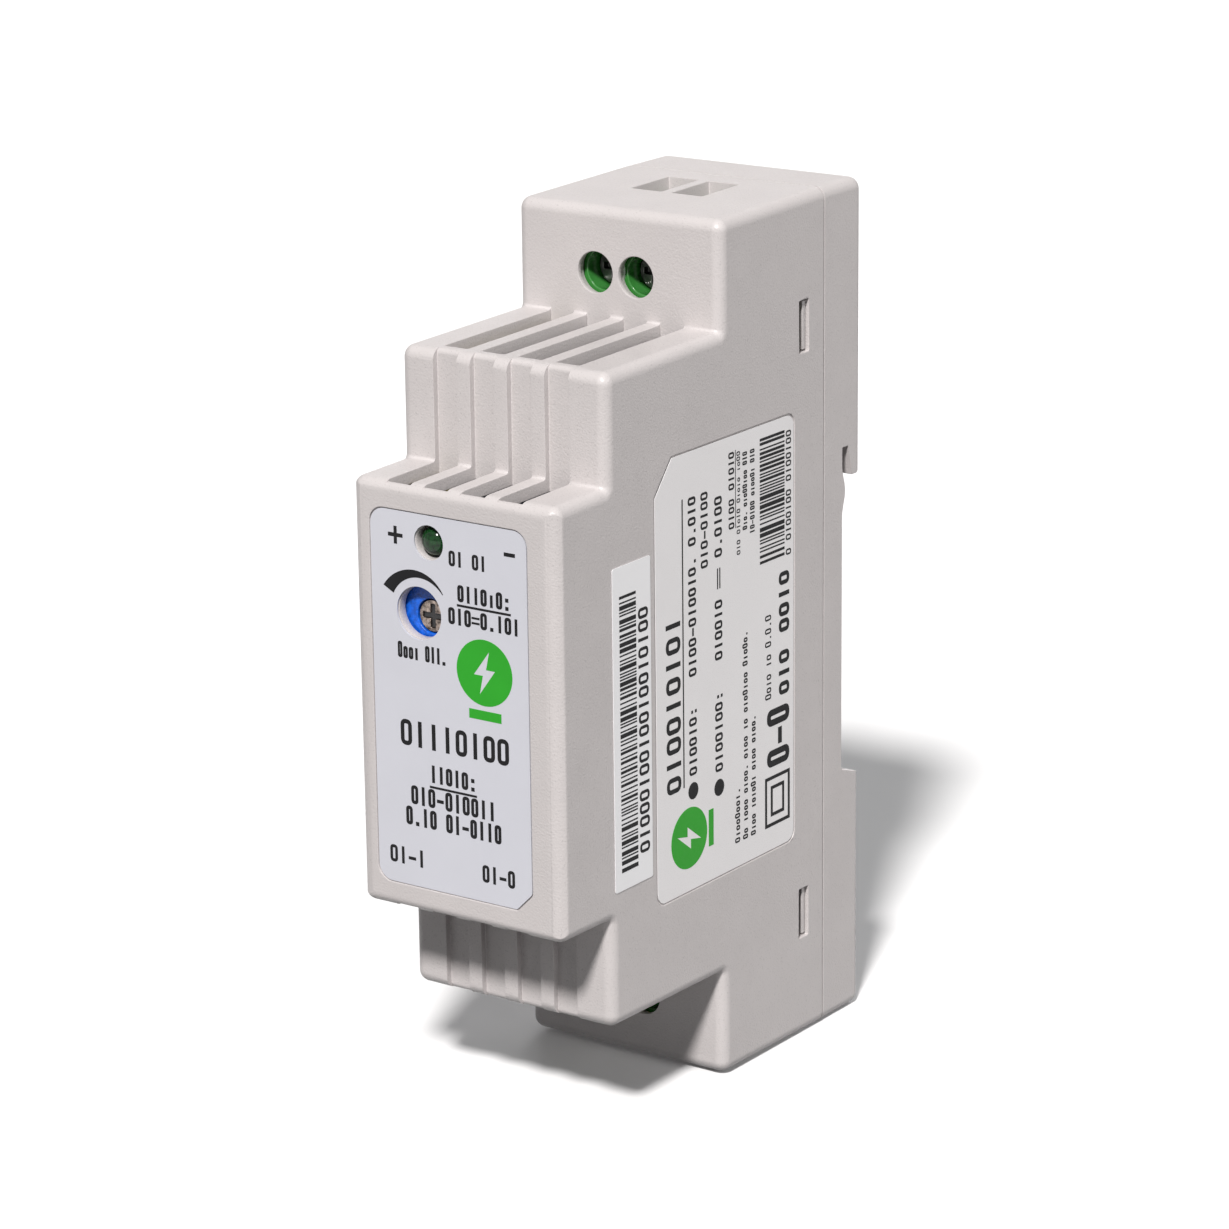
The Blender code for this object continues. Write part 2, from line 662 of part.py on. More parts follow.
def terminals(green, steel, brass):
    for end, side in (("output", 1), ("input", -1)):
        terminal_block(f"{end}_terminal_block", side, green)
        for pole, x in enumerate(pole_places(), start=1):
            terminal_screw(f"{end}_terminal_screw_{pole}", x, side, steel)
            clamp_cage(f"{end}_clamp_cage_{pole}", x, side, steel)
            contact_bar(f"{end}_contact_bar_{pole}", x, side, brass)


# Boards, LED and trimmer


def main_board(surface):
    """The board across the back, which the terminal blocks stand on."""
    half_z = TERM_Z - WALL - 0.9 * MM
    board = box("main_board", (-MAIN_BOARD_HALF, MAIN_BOARD_HALF), MAIN_BOARD_Y,
                (-half_z, half_z))
    for side in (-1, 1):
        for pole, x in enumerate(pole_places()):
            cut(board, box(f"board_hole_{side}_{pole}", around(x, 1.4 * MM),
                           (MAIN_BOARD_Y[0] - OVER, MAIN_BOARD_Y[1] + OVER),
                           sorted((side * (CHAMBER_Z[0] - 0.1 * MM),
                                   side * (CHAMBER_Z[0] + 1.1 * MM)))))
    finish(board, surface)


def power_board(surface):
    """The board along the left side, which follows the steps of the case."""
    back, front = MAIN_BOARD_Y[0] - 0.3 * MM, -48.0 * MM
    step = STEP_Y + WALL + 0.6 * MM
    mid, nose = MID_Z - WALL - 1.1 * MM, NOSE_Z - WALL - 1.5 * MM
    upper = [(back, mid), (step, mid), (step, nose), (front, nose)]
    outline = upper + [(y, -z) for y, z in reversed(upper)]
    finish(prism("power_board", "X", outline, POWER_BOARD_X), surface)


def signal_led(surface):
    """A round LED with its dome in the panel's hole, and two legs bent to the power board."""
    tip_y, shoulder_y, base_y = FRONT_Y + 0.9 * MM, FRONT_Y + 2.2 * MM, FRONT_Y + 5.4 * MM
    led = cylinder("signal_led", "Y", LED_AT, (shoulder_y, base_y), LED_R)
    rings = [(shoulder_y, LED_R), (shoulder_y - 0.7 * MM, 0.86 * LED_R),
             (tip_y, 0.35 * LED_R)]
    for i, ((back, wide), (front, narrow)) in enumerate(zip(rings, rings[1:])):
        overlap = 0.05 * MM if i == 0 else 0.0
        join(led, cylinder(f"led_dome_{i}", "Y", LED_AT, (front, back + overlap), narrow, 24,
                           end_radius=wide))
    join(led, cylinder("led_flange", "Y", LED_AT, (base_y - 0.9 * MM, base_y + FIT),
                       LED_R + 0.15 * MM, 24))
    bend_y = base_y + 2.6 * MM
    for z in (-1.27 * MM, 1.27 * MM):
        leg_z = around(LED_AT[1] + z, 0.5 * MM)
        join(led,
             box(f"led_leg_{z:.4f}", around(LED_AT[0], 0.5 * MM), (base_y - 0.3 * MM, bend_y),
                 leg_z),
             box(f"led_foot_{z:.4f}", (BOARD_TOP_X, LED_AT[0] + 0.25 * MM),
                 (bend_y - 0.5 * MM, bend_y), leg_z))
    finish(led, surface)


def trimmer(body_surface, rotor_surface):
    """The output adjuster: a square body against the board, and a slotted rotor in its face."""
    x, z = TRIMMER_AT
    body = box("trimmer_body", (BOARD_TOP_X, x + TRIMMER_HALF), TRIMMER_Y,
               around(z, 2 * TRIMMER_HALF))
    cut(body, cylinder("rotor_bore", "Y", TRIMMER_AT, (TRIMMER_Y[0] - OVER, -48.4 * MM),
                       ROTOR_R + SLIDE_GAP, 32))
    finish(body, body_surface)
    front = TRIMMER_Y[0] + 0.15 * MM
    rotor = cylinder("trimmer_rotor", "Y", TRIMMER_AT, (front, -48.6 * MM), ROTOR_R, 32,
                     (x, front, z))
    slot_y = (front - OVER, front + 0.6 * MM)
    long, short = 2.5 * MM, 0.6 * MM
    cut(rotor,
        box("rotor_slot_a", around(x, long), slot_y, around(z, short)),
        box("rotor_slot_b", around(x, short), slot_y, around(z, long)))
    finish(rotor, rotor_surface)


# Components on the power board: heights run along +X from the board's face.


def lying_can(name, y, z_span, radius, surface):
    """A round component that lies on the board, along Z."""
    centre_x = BOARD_TOP_X + radius + FIT
    finish(cylinder(name, "Z", (centre_x, y), z_span, radius, 20), surface)


def standing_can(name, y, z, radius, length, surface):
    """A round component that stands on the board."""
    finish(cylinder(name, "X", (y, z), (BOARD_TOP_X, BOARD_TOP_X + length), radius, 20),
           surface)


def disc(name, axis, y, z, radius, thickness, surface):
    """A disc on edge on the board, its axis along Y or Z, with a foot down to the board."""
    centre_x = BOARD_TOP_X + radius + 0.9 * MM
    if axis == "Y":
        made = cylinder(name, "Y", (centre_x, z), around(y, thickness), radius, 20)
    else:
        made = cylinder(name, "Z", (centre_x, y), around(z, thickness), radius, 20)
    legs = [around(y, 1 * MM), around(z, 1 * MM)]
    join(made, box(f"{name}_leg", (BOARD_TOP_X, centre_x - radius + 1 * MM), *legs))
    finish(made, surface)


def block(name, y, z, tall, surface):
    """A boxy component on the board."""
    finish(box(name, (BOARD_TOP_X, BOARD_TOP_X + tall), y, z), surface)


def choke(ferrite, copper):
    """A ring core on edge along the board, with a winding on each half."""
    at = (-14.0 * MM, -13.4 * MM)
    core_x = (BOARD_TOP_X + 1.2 * MM, BOARD_TOP_X + 5.2 * MM)
    outer, inner, wrap = 5.0 * MM, 2.9 * MM, 0.9 * MM
    core = cylinder("choke_core", "X", at, core_x, outer, 24)
    cut(core, cylinder("choke_core_hole", "X", at, (core_x[0] - OVER, core_x[1] + OVER),
                       inner, 24))
    finish(core, ferrite)
    wide_x = (core_x[0] - wrap, core_x[1] + wrap)
    for side, name in ((1, "choke_winding_upper"), (-1, "choke_winding_lower")):
        coil = cylinder(name, "X", at, wide_x, outer + wrap, 24)
        hollow = cylinder(f"{name}_core", "X", at, (core_x[0] - FIT, core_x[1] + FIT),
                          outer + FIT, 24)
        cut(hollow, cylinder(f"{name}_core_hole", "X", at, wide_x, inner - FIT, 24))
        cut(coil,
            hollow,
            cylinder(f"{name}_hole", "X", at, (wide_x[0] - OVER, wide_x[1] + OVER),
                     inner - wrap, 24),
            box(f"{name}_half", (wide_x[0] - OVER, wide_x[1] + OVER), around(at[0], 30 * MM),
                sorted((at[1] + side * 0.8 * MM, at[1] - side * 15 * MM))))
        finish(coil, copper)


def transformer(ferrite, copper, plastic):
    """A double-E core parallel to the board, its winding, and the bobbin's foot."""
    core_y, core_z = (-40.5 * MM, -24.5 * MM), (-8 * MM, 8 * MM)
    core_x = (-1.9 * MM, 3.1 * MM)
    window_half_z, leg, gap = 5.6 * MM, 2.1 * MM, 0.3 * MM
    middle = sum(core_y) / 2
    core = box("transformer_core", core_x, core_y, core_z)
    for side in (-1, 1):
        near, far = middle + side * leg, middle + side * (8 * MM - leg)
        cut(core, box(f"core_window_{side}", (core_x[0] - OVER, core_x[1] + OVER),
                      sorted((near, far)), (-window_half_z, window_half_z)))
    finish(core, ferrite)
    reach = 8 * MM - leg - gap
    coil = box("transformer_winding", (core_x[0] - 4 * MM, core_x[1] + 4 * MM),
               around(middle, 2 * reach), around(0, 2 * (window_half_z - gap)))
    bevel(coil, 1.5 * MM)
    cut(coil, box("winding_bore", (core_x[0] - gap, core_x[1] + gap),
                  around(middle, 2 * (leg + gap)), (-core_z[1], core_z[1])))
    finish(coil, copper)
    block("transformer_bobbin", core_y, core_z, 1.3 * MM, plastic)


def components(colours):
    """The rest of the circuit, from the input at the bottom to the output at the top."""
    black, grey, can = colours["black"], colours["grey"], colours["can"]
    disc("varistor", "Y", -9.7 * MM, -28.2 * MM, 4.0 * MM, 3.4 * MM, colours["blue"])
    lying_can("input_fuse", -13.9 * MM, (-32 * MM, -22 * MM), 1.7 * MM, colours["green"])
    disc("inrush_thermistor", "Y", -18.7 * MM, -27.4 * MM, 4.4 * MM, 3.8 * MM, black)
    block("x_capacitor", (-29.5 * MM, -21.6 * MM), (-32.3 * MM, -19.6 * MM), 12 * MM,
          colours["yellow"])
    lying_can("bulk_capacitor", -36.4 * MM, (-32 * MM, -12 * MM), 5.0 * MM, can)
    block("bridge_rectifier", (-28.8 * MM, -22.3 * MM), (-18 * MM, -9.5 * MM), 3.2 * MM, black)
    disc("y_capacitor", "Z", -16 * MM, -3.2 * MM, 4.0 * MM, 3.6 * MM, colours["blue"])
    block("controller_ic", (-22.4 * MM, -16 * MM), (1 * MM, 10 * MM), 3.3 * MM, black)
    block("optocoupler", (-14 * MM, -7.5 * MM), (2 * MM, 6.6 * MM), 3.6 * MM, grey)
    lying_can("output_diode", -17.5 * MM, (13 * MM, 22 * MM), 2.6 * MM, black)
    standing_can("output_capacitor_1", -36.6 * MM, 15.5 * MM, 4.0 * MM, 14 * MM, can)
    standing_can("output_capacitor_2", -27.6 * MM, 15.5 * MM, 4.0 * MM, 14 * MM, can)
    standing_can("output_inductor", -36.6 * MM, 26.0 * MM, 4.0 * MM, 9 * MM, grey)


def build():
    clear_scene()
    case = material("case_plastic", (0.60, 0.58, 0.57), 0.45)
    paper = material("label_film", (0.82, 0.83, 0.86), 0.4)
    green = material("terminal_plastic", (0.02, 0.30, 0.09), 0.35)
    steel = material("zinc_steel", (0.62, 0.62, 0.60), 0.35, 1.0)
    brass = material("tinned_brass", (0.70, 0.62, 0.42), 0.35, 1.0)
    board = material("board_laminate", (0.30, 0.27, 0.10), 0.6)
    ferrite = material("ferrite", (0.06, 0.06, 0.065), 0.6)
    copper = material("enamelled_copper", (0.60, 0.22, 0.08), 0.35, 0.8)
    black = material("black_plastic", (0.02, 0.02, 0.02), 0.5)
    colours = {
        "black": black,
        "grey": material("grey_plastic", (0.35, 0.35, 0.36), 0.5),
        "can": material("capacitor_sleeve", (0.03, 0.05, 0.12), 0.35),
        "blue": material("blue_coating", (0.02, 0.12, 0.45), 0.4),
        "green": material("fuse_coating", (0.04, 0.30, 0.16), 0.4),
        "yellow": material("film_capacitor", (0.75, 0.55, 0.06), 0.5),
    }
    front_housing(case)
    rear_cover(case)
    rail_latch(material("latch_plastic", (0.03, 0.03, 0.03), 0.5))
    latch_spring(steel)
    front_label(paper)
    side_labels(paper)
    main_board(board)
    power_board(board)
    terminals(green, steel, brass)
    signal_led(material("led_green", (0.01, 0.16, 0.04), 0.15))
    trimmer(material("trimmer_blue", (0.01, 0.13, 0.65), 0.35), steel)
    choke(ferrite, copper)
    transformer(ferrite, copper, black)
    components(colours)


build()
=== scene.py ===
"""The looks of a DIN rail power supply: a stepped grey case with printed labels, green screw
terminals, a blue trimmer and a green signal LED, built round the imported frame.

Metres, +Z up. The front panel faces -Y and the rail is behind the origin."""

import json
import math
import random

import bmesh
import bpy
from mathutils import Matrix, Vector

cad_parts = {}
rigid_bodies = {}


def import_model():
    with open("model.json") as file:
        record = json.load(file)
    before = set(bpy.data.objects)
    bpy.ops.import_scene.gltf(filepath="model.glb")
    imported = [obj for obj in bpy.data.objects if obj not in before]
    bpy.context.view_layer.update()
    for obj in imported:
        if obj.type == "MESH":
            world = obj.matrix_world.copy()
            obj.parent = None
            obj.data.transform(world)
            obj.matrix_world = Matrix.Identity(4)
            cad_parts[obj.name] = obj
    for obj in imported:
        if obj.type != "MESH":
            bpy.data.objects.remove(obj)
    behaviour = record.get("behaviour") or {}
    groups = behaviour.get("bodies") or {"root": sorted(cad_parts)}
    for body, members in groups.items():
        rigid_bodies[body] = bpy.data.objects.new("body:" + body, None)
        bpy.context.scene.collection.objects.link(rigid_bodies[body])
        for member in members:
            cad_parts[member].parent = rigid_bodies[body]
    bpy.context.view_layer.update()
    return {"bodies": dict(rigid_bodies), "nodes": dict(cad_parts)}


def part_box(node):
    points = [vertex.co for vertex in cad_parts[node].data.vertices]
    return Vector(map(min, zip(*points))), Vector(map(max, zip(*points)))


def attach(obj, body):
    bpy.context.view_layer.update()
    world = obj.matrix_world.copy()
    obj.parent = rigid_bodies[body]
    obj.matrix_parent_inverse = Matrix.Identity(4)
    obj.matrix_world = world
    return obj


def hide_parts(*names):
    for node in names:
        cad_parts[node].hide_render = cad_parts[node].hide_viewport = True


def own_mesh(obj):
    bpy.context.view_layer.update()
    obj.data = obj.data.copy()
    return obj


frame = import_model()

MM = 0.001
OVER = 2 * MM  # how far a cutter runs past what it cuts
FIT = 0.1 * MM  # gap between still pieces that touch

# Case
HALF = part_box("front_housing")[1].x
FRONT_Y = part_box("front_housing")[0].y
TERM_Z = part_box("rear_cover")[1].z
BACK_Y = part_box("rear_cover")[1].y
STEP_Y = -43.55 * MM
TERM_Y = -23.25 * MM
PART_Y = -3.75 * MM
NOSE_Z = 23.4 * MM
MID_Z = 35.0 * MM
DRAFT = 0.0175
WALL = 1.4 * MM
EDGE_R = 1.3 * MM
INNER_R = 0.35 * MM
SOFT_R = 0.12 * MM  # the small radius of every other edge
PART_GAP = 0.2 * MM
COVER_STEP = 0.05 * MM  # how far the cover's sides stand back from the housing's
CIRCUIT_X = -0.3 * MM
VENT_X = -0.15 * MM
VENT_COUNT = 4
VENT_PITCH = 4.6 * MM
VENT_WIDTH = 2.9 * MM
GROOVE_DEPTH = 0.7 * MM
MID_LIP = 1.95 * MM
NOSE_LIP = 0.9 * MM
LEDGE_DEPTH = 0.25 * MM
LEDGE_R = 0.85 * MM
GROOVE_R = 0.6 * MM
SNAP_Z = 32.45 * MM
SNAP_HEIGHT = 5.6 * MM
SNAP_Y = (-8.6 * MM, -6.75 * MM)
LABEL_X = (-10.35 * MM, 9.0 * MM)
LABEL_Z = 19.7 * MM
LABEL_CORNER = 1.7 * MM
LABEL_CHAMFER = 1.9 * MM
RECESS = 0.33 * MM
SIDE_Y = (-35.25 * MM, -9.65 * MM)
SIDE_Z = (-23.4 * MM, 23.5 * MM)
SIDE_CORNER = 1.3 * MM
SIDE_CHAMFER = (3.05 * MM, 3.6 * MM)
SIDE_RECESS = 0.2 * MM

# Back of the case
NOTCH_TOP_Z = 17.75 * MM
NOTCH_TOP_Y = 1.15 * MM
HOOK_Z = 14.4 * MM
HOOK_Y = 1.9 * MM
BUMP_Z = (10.1 * MM, 15.8 * MM)
BUMP_HEIGHT = 0.6 * MM
LEDGE_Z = -18.3 * MM
LEDGE_DROP = 1.05 * MM
CHANNEL_Y = (1.1 * MM, 3.0 * MM)
CHANNEL_HALF = 5.75 * MM
CHANNEL_MOUTH = 4.6 * MM
WINDOW_HALF = 1.6 * MM
WINDOW_Z = (-37.2 * MM, -28.0 * MM)
BOSS_Z = (-37.0 * MM, -35.6 * MM)
SLIDE_GAP = 0.15 * MM

# Terminals, LED and trimmer
POLE_PITCH = 5.08 * MM
TERMINAL_Z = 39.2 * MM
HOLE_R = 2.17 * MM
HOLE_LIP = 0.65 * MM
COUNTERBORE_R = HOLE_R + 0.25 * MM  # behind the lip of a screwdriver hole
WIRE_Y = (-13.9 * MM, -6.9 * MM)
WIRE_WIDTH = 3.8 * MM
DUCT_Z = 43.7 * MM
DUCT_Y = (-15.3 * MM, -6.1 * MM)
LED_AT = (-3.06 * MM, 16.9 * MM)
LED_HOLE_R = 1.72 * MM
TRIMMER_HOLE_AT = (-4.44 * MM, 9.4 * MM)
TRIMMER_HOLE_R = 2.68 * MM

PRINT = 0.015 * MM  # how far printed ink stands off its label
SHARP_ANGLE = math.radians(40)  # a sharper edge is rounded
SHADING_ANGLE = math.radians(38)  # a sharper edge stays crisp in the shading
AXES = {
    "X": Matrix(((0, 0, 1), (1, 0, 0), (0, 1, 0))),
    "Y": Matrix(((1, 0, 0), (0, 0, -1), (0, 1, 0))),
    "Z": Matrix.Identity(3),
}
tools = []  # cutters and joined shapes, removed once they have been used


# Materials


def material(name, colour, roughness, metallic=0.0, mottle=0.04, mottle_size=5 * MM,
             grain_size=0.3 * MM, grain=0.01 * MM, specks=0.0, coat=0.0, shine=0.5):
    """A procedural surface: mottled colour, grain in the relief and in the gloss, and specks."""
    made = bpy.data.materials.new(name)
    made.use_nodes = True
    nodes, links = made.node_tree.nodes, made.node_tree.links
    shader = nodes["Principled BSDF"]
    shader.inputs["Metallic"].default_value = metallic
    shader.inputs["Specular IOR Level"].default_value = shine
    shader.inputs["Coat Weight"].default_value = coat
    shader.inputs["Coat Roughness"].default_value = 0.08
    place = nodes.new("ShaderNodeTexCoord").outputs["Object"]

    def noise(size, detail=2.0):
        made_noise = nodes.new("ShaderNodeTexNoise")
        made_noise.inputs["Scale"].default_value = 1 / size
        made_noise.inputs["Detail"].default_value = detail
        links.new(place, made_noise.inputs["Vector"])
        return made_noise.outputs["Fac"]

    def blend(amount, first, second):
        mix = nodes.new("ShaderNodeMix")
        mix.data_type = "RGBA"
        links.new(amount, mix.inputs["Factor"])
        for socket, value in ((mix.inputs["A"], first), (mix.inputs["B"], second)):
            if isinstance(value, tuple):
                socket.default_value = (*value, 1)
            else:
                links.new(value, socket)
        return mix.outputs["Result"]

    def spread(value, low, high, to_low, to_high):
        reach = nodes.new("ShaderNodeMapRange")
        for name_in, number in (("From Min", low), ("From Max", high),
                                ("To Min", to_low), ("To Max", to_high)):
            reach.inputs[name_in].default_value = number
        links.new(value, reach.inputs["Value"])
        return reach.outputs["Result"]

    darker = tuple(part * (1 - mottle) for part in colour)
    lighter = tuple(min(1.0, part * (1 + mottle)) for part in colour)
    tone = blend(spread(noise(mottle_size), 0.3, 0.7, 0, 1), darker, lighter)
    if specks:
        speck = spread(noise(grain_size * 0.8, 1.0), 0.62, 0.74, 0, specks)
        tone = blend(speck, tone, tuple(part * 0.55 for part in colour))
    links.new(tone, shader.inputs["Base Color"])
    relief = noise(grain_size)
    links.new(spread(relief, 0.25, 0.75, max(0.02, roughness - 0.07), roughness + 0.07),
              shader.inputs["Roughness"])
    bump = nodes.new("ShaderNodeBump")
    bump.inputs["Strength"].default_value = 1.0
    bump.inputs["Distance"].default_value = grain
    links.new(relief, bump.inputs["Height"])
    links.new(bump.outputs["Normal"], shader.inputs["Normal"])
    return made


# Shapes


def make_object(name, mesh):
    made = bpy.data.objects.new(name, mesh)
    bpy.context.scene.collection.objects.link(made)
    tools.append(made)
    return made


def mesh_object(name, build):
    mesh = bpy.data.meshes.new(name)
    shape = bmesh.new()
    build(shape)
    bmesh.ops.recalc_face_normals(shape, faces=shape.faces)
    shape.to_mesh(mesh)
    shape.free()
    return make_object(name, mesh)


def direction(axis):
    return Vector([1.0 if letter == axis else 0.0 for letter in "XYZ"])


def evaluated_mesh(shaped):
    return bpy.data.meshes.new_from_object(
        shaped.evaluated_get(bpy.context.evaluated_depsgraph_get()))


def curve_mesh(curve):
    """The mesh of a curve. The curve itself is removed."""
    guide = bpy.data.objects.new(curve.name, curve)
    bpy.context.scene.collection.objects.link(guide)
    mesh = evaluated_mesh(guide)
    bpy.data.objects.remove(guide)
    bpy.data.curves.remove(curve)
    return mesh


def box(name, x, y, z):
    """A box from three (low, high) pairs."""
    middle = Vector([(low + high) / 2 for low, high in (x, y, z)])
    size = [abs(high - low) for low, high in (x, y, z)]
    place = Matrix.Translation(middle) @ Matrix.Diagonal((*size, 1))
    return mesh_object(name, lambda shape: bmesh.ops.create_cube(shape, size=1, matrix=place))


def turned(name, axis, at, profile, segments=48):
    """A turned solid: profile is (radius, place along the axis) pairs, from end to end."""
    turn = AXES[axis]
    flat = turn @ Vector((at[0], at[1], 0))
    along = direction(axis)

    def build(shape):
        rings = []
        for radius, place in profile:
            ring = []
            for i in range(segments):
                angle = 2 * math.pi * i / segments
                spoke = turn @ Vector((radius * math.cos(angle), radius * math.sin(angle), 0))
                ring.append(shape.verts.new(flat + spoke + along * place))
            rings.append(ring)
        for low, high in zip(rings, rings[1:]):
            for i in range(segments):
                j = (i + 1) % segments
                shape.faces.new((low[i], low[j], high[j], high[i]))
        shape.faces.new(rings[0])
        shape.faces.new(rings[-1])

    return mesh_object(name, build)


def prism(name, axis, outlines, span):
    """Outlines in the plane across an axis (YZ, XZ or XY), filled and extruded over span.
    An outline inside another is a hole in it."""
    low, high = span
    curve = bpy.data.curves.new(name, "CURVE")
    curve.dimensions = "2D"
    curve.fill_mode = "BOTH"
    curve.extrude = (high - low) / 2
    for outline in outlines:
        spline = curve.splines.new("POLY")
        spline.points.add(len(outline) - 1)
        for point, (across, up) in zip(spline.points, outline):
            point.co = (across, up, 0, 1)
        spline.use_cyclic_u = True
    mesh = curve_mesh(curve)
    shape = bmesh.new()
    shape.from_mesh(mesh)
    bmesh.ops.remove_doubles(shape, verts=shape.verts, dist=1e-7)
    bmesh.ops.dissolve_limit(shape, angle_limit=math.radians(0.2), verts=shape.verts,
                             edges=shape.edges)
    middle = Matrix.Translation(direction(axis) * (low + high) / 2)
    bmesh.ops.transform(shape, matrix=middle @ AXES[axis].to_4x4(), verts=shape.verts)
    bmesh.ops.recalc_face_normals(shape, faces=shape.faces)
    shape.to_mesh(mesh)
    shape.free()
    return make_object(name, mesh)


def boolean(target, tool, operation):
    step = target.modifiers.new(tool.name, "BOOLEAN")
    step.operation = operation
    step.solver = "EXACT"
    step.object = tool


def cut(target, *cutters):
    for cutter in cutters:
        boolean(target, cutter, "DIFFERENCE")


def join(target, *shapes):
    for shape in shapes:
        boolean(target, shape, "UNION")


def apply_modifiers(target):
    mesh = evaluated_mesh(target)
    target.modifiers.clear()
    target.data = mesh
    return mesh


def soften(target, width, crisp=None):
    """Rounds every sharp edge, except where crisp(point) holds."""
    mesh = apply_modifiers(target)
    shape = bmesh.new()
    shape.from_mesh(mesh)
    weight = shape.edges.layers.float.new("bevel_weight_edge")
    for edge in shape.edges:
        if len(edge.link_faces) == 2 and edge.calc_face_angle() > SHARP_ANGLE:
            edge[weight] = not (crisp and all(crisp(corner.co) for corner in edge.verts))
    shape.to_mesh(mesh)
    shape.free()
    step = target.modifiers.new("soft_edges", "BEVEL")
    step.width = width
    step.segments = 2
    step.limit_method = "WEIGHT"
    step.use_clamp_overlap = False
    step.miter_outer = "MITER_ARC"


def settle(target):
    """Applies the modifiers and shades the result smooth across its fillets."""
    mesh = apply_modifiers(target)
    mesh.shade_smooth()
    mesh.set_sharp_from_angle(angle=SHADING_ANGLE)
    even = target.modifiers.new("even_shading", "WEIGHTED_NORMAL")
    even.keep_sharp = True


def finish(piece, body, surface, slot, *nodes):
    """Makes the shape a piece of the object: it rides on a body and stands for nodes."""
    settle(piece)
    tools.remove(piece)
    piece.data.materials.clear()
    piece.data.materials.append(surface)
    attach(piece, body)
    if nodes:
        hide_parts(*nodes)
    return piece


def remove_tools():
    for tool in tools:
        bpy.data.objects.remove(tool, do_unlink=True)
    tools.clear()


def around(middle, width):
    return (middle - width / 2, middle + width / 2)


def arc(centre, radius, start, end, steps=8):
    """Points of an arc, angles in degrees."""
    angles = [math.radians(start + (end - start) * i / steps) for i in range(steps + 1)]
    return [(centre[0] + radius * math.cos(a), centre[1] + radius * math.sin(a)) for a in angles]


def rounded(corners, steps=8):
    """An outline through (across, up, radius) corners, each rounded by an arc."""
    points = []
    for i, (across, up, radius) in enumerate(corners):
        if not radius:
            points.append((across, up))
            continue
        here = Vector((across, up))
        back = (Vector(corners[i - 1][:2]) - here).normalized()
        ahead = (Vector(corners[(i + 1) % len(corners)][:2]) - here).normalized()
        half = back.angle(ahead) / 2
        middle = here + (back + ahead).normalized() * (radius / math.sin(half))
        start = here + back * (radius / math.tan(half)) - middle
        end = here + ahead * (radius / math.tan(half)) - middle
        turn = start.angle_signed(end)
        for step in range(steps + 1):
            spoke = start.copy()
            spoke.rotate(Matrix.Rotation(-turn * step / steps, 2))
            points.append(tuple(middle + spoke))
    return points


# Case


def height(half_height, y):
    """A zone's half height at y, less the draft forward of the parting plane."""
    return half_height - DRAFT * max(0, PART_Y - y)


def stepped_outline(inset, back_y):
    """The case seen from the side, in (y, z), drawn in by inset."""
    front, step, term = FRONT_Y + inset, STEP_Y + inset, TERM_Y + inset
    upper = [
        (back_y, TERM_Z - inset),
        (PART_Y, TERM_Z - inset),
        (term, height(TERM_Z, term) - inset),
        (term, height(MID_Z, term) - inset),
        (step, height(MID_Z, step) - inset),
        (step, height(NOSE_Z, step) - inset),
        (front, height(NOSE_Z, front) - inset),
    ]
    return upper + [(y, -z) for y, z in reversed(upper)]


def outer_profile():
    """The case's outer body seen from the side, in (y, z), with its corners rounded."""
    steps = [
        (BACK_Y, TERM_Z, EDGE_R), (PART_Y, TERM_Z, 0),
        (TERM_Y, TERM_Z, EDGE_R), (TERM_Y, MID_Z, INNER_R),
        (STEP_Y, MID_Z, EDGE_R), (STEP_Y, NOSE_Z, INNER_R),
        (FRONT_Y, NOSE_Z, EDGE_R),
    ]
    upper = [(y, height(half_height, y), radius) for y, half_height, radius in steps]
    return rounded(upper + [(y, -z, radius) for y, z, radius in reversed(upper)], 6)


def case_blank(name, half=HALF):
    """The whole outer body, which the front housing and the rear cover are halves of."""
    blank = prism(name, "X", [outer_profile()], (-half, half))
    step = blank.modifiers.new("fillets", "BEVEL")
    step.width = 0.97 * EDGE_R
    step.segments = 6
    step.limit_method = "ANGLE"
    step.angle_limit = math.radians(60)
    step.use_clamp_overlap = False
    return blank


def nose_corner(side):
    """Takes the nose's upright edge down to a broad round that meets the side in a crease."""
    reach, radius = 1.7 * MM, 1.9 * MM
    centre = (HALF - reach, FRONT_Y + radius)
    start = math.degrees(math.acos(reach / radius))
    outline = arc(centre, radius, -start, -90) + [
        (centre[0], FRONT_Y - OVER), (HALF + OVER, FRONT_Y - OVER),
        (HALF + OVER, FRONT_Y + radius * (1 - math.sin(math.radians(start)))),
    ]
    return prism("nose_corner", "Z", [[(side * x, y) for x, y in outline]],
                 (-NOSE_Z - OVER, NOSE_Z + OVER))


def pole_places():
    return [CIRCUIT_X - POLE_PITCH / 2, CIRCUIT_X + POLE_PITCH / 2]


def nose_slot():
    """One vent slot of the nose with its ledge, and its groove up the step, in (y, z)."""
    ledge_z = height(NOSE_Z, FRONT_Y) - LEDGE_DEPTH
    groove_y = STEP_Y + GROOVE_DEPTH
    groove_end = height(MID_Z, STEP_Y) - GROOVE_R + 0.02 * MM
    inside_z = NOSE_Z - WALL - OVER
    return (
        [(FRONT_Y - OVER, ledge_z - LEDGE_R)]
        + arc((FRONT_Y + LEDGE_R, ledge_z - LEDGE_R), LEDGE_R, 172, 90)
        + [(FRONT_Y + NOSE_LIP, inside_z), (groove_y, inside_z)]
        + arc((groove_y + GROOVE_R, groove_end), GROOVE_R, 180, 90)
        + [(groove_y + GROOVE_R, MID_Z + EDGE_R), (STEP_Y - OVER, MID_Z + EDGE_R),
           (STEP_Y - OVER, NOSE_Z + EDGE_R), (FRONT_Y - OVER, NOSE_Z + EDGE_R)]
    )


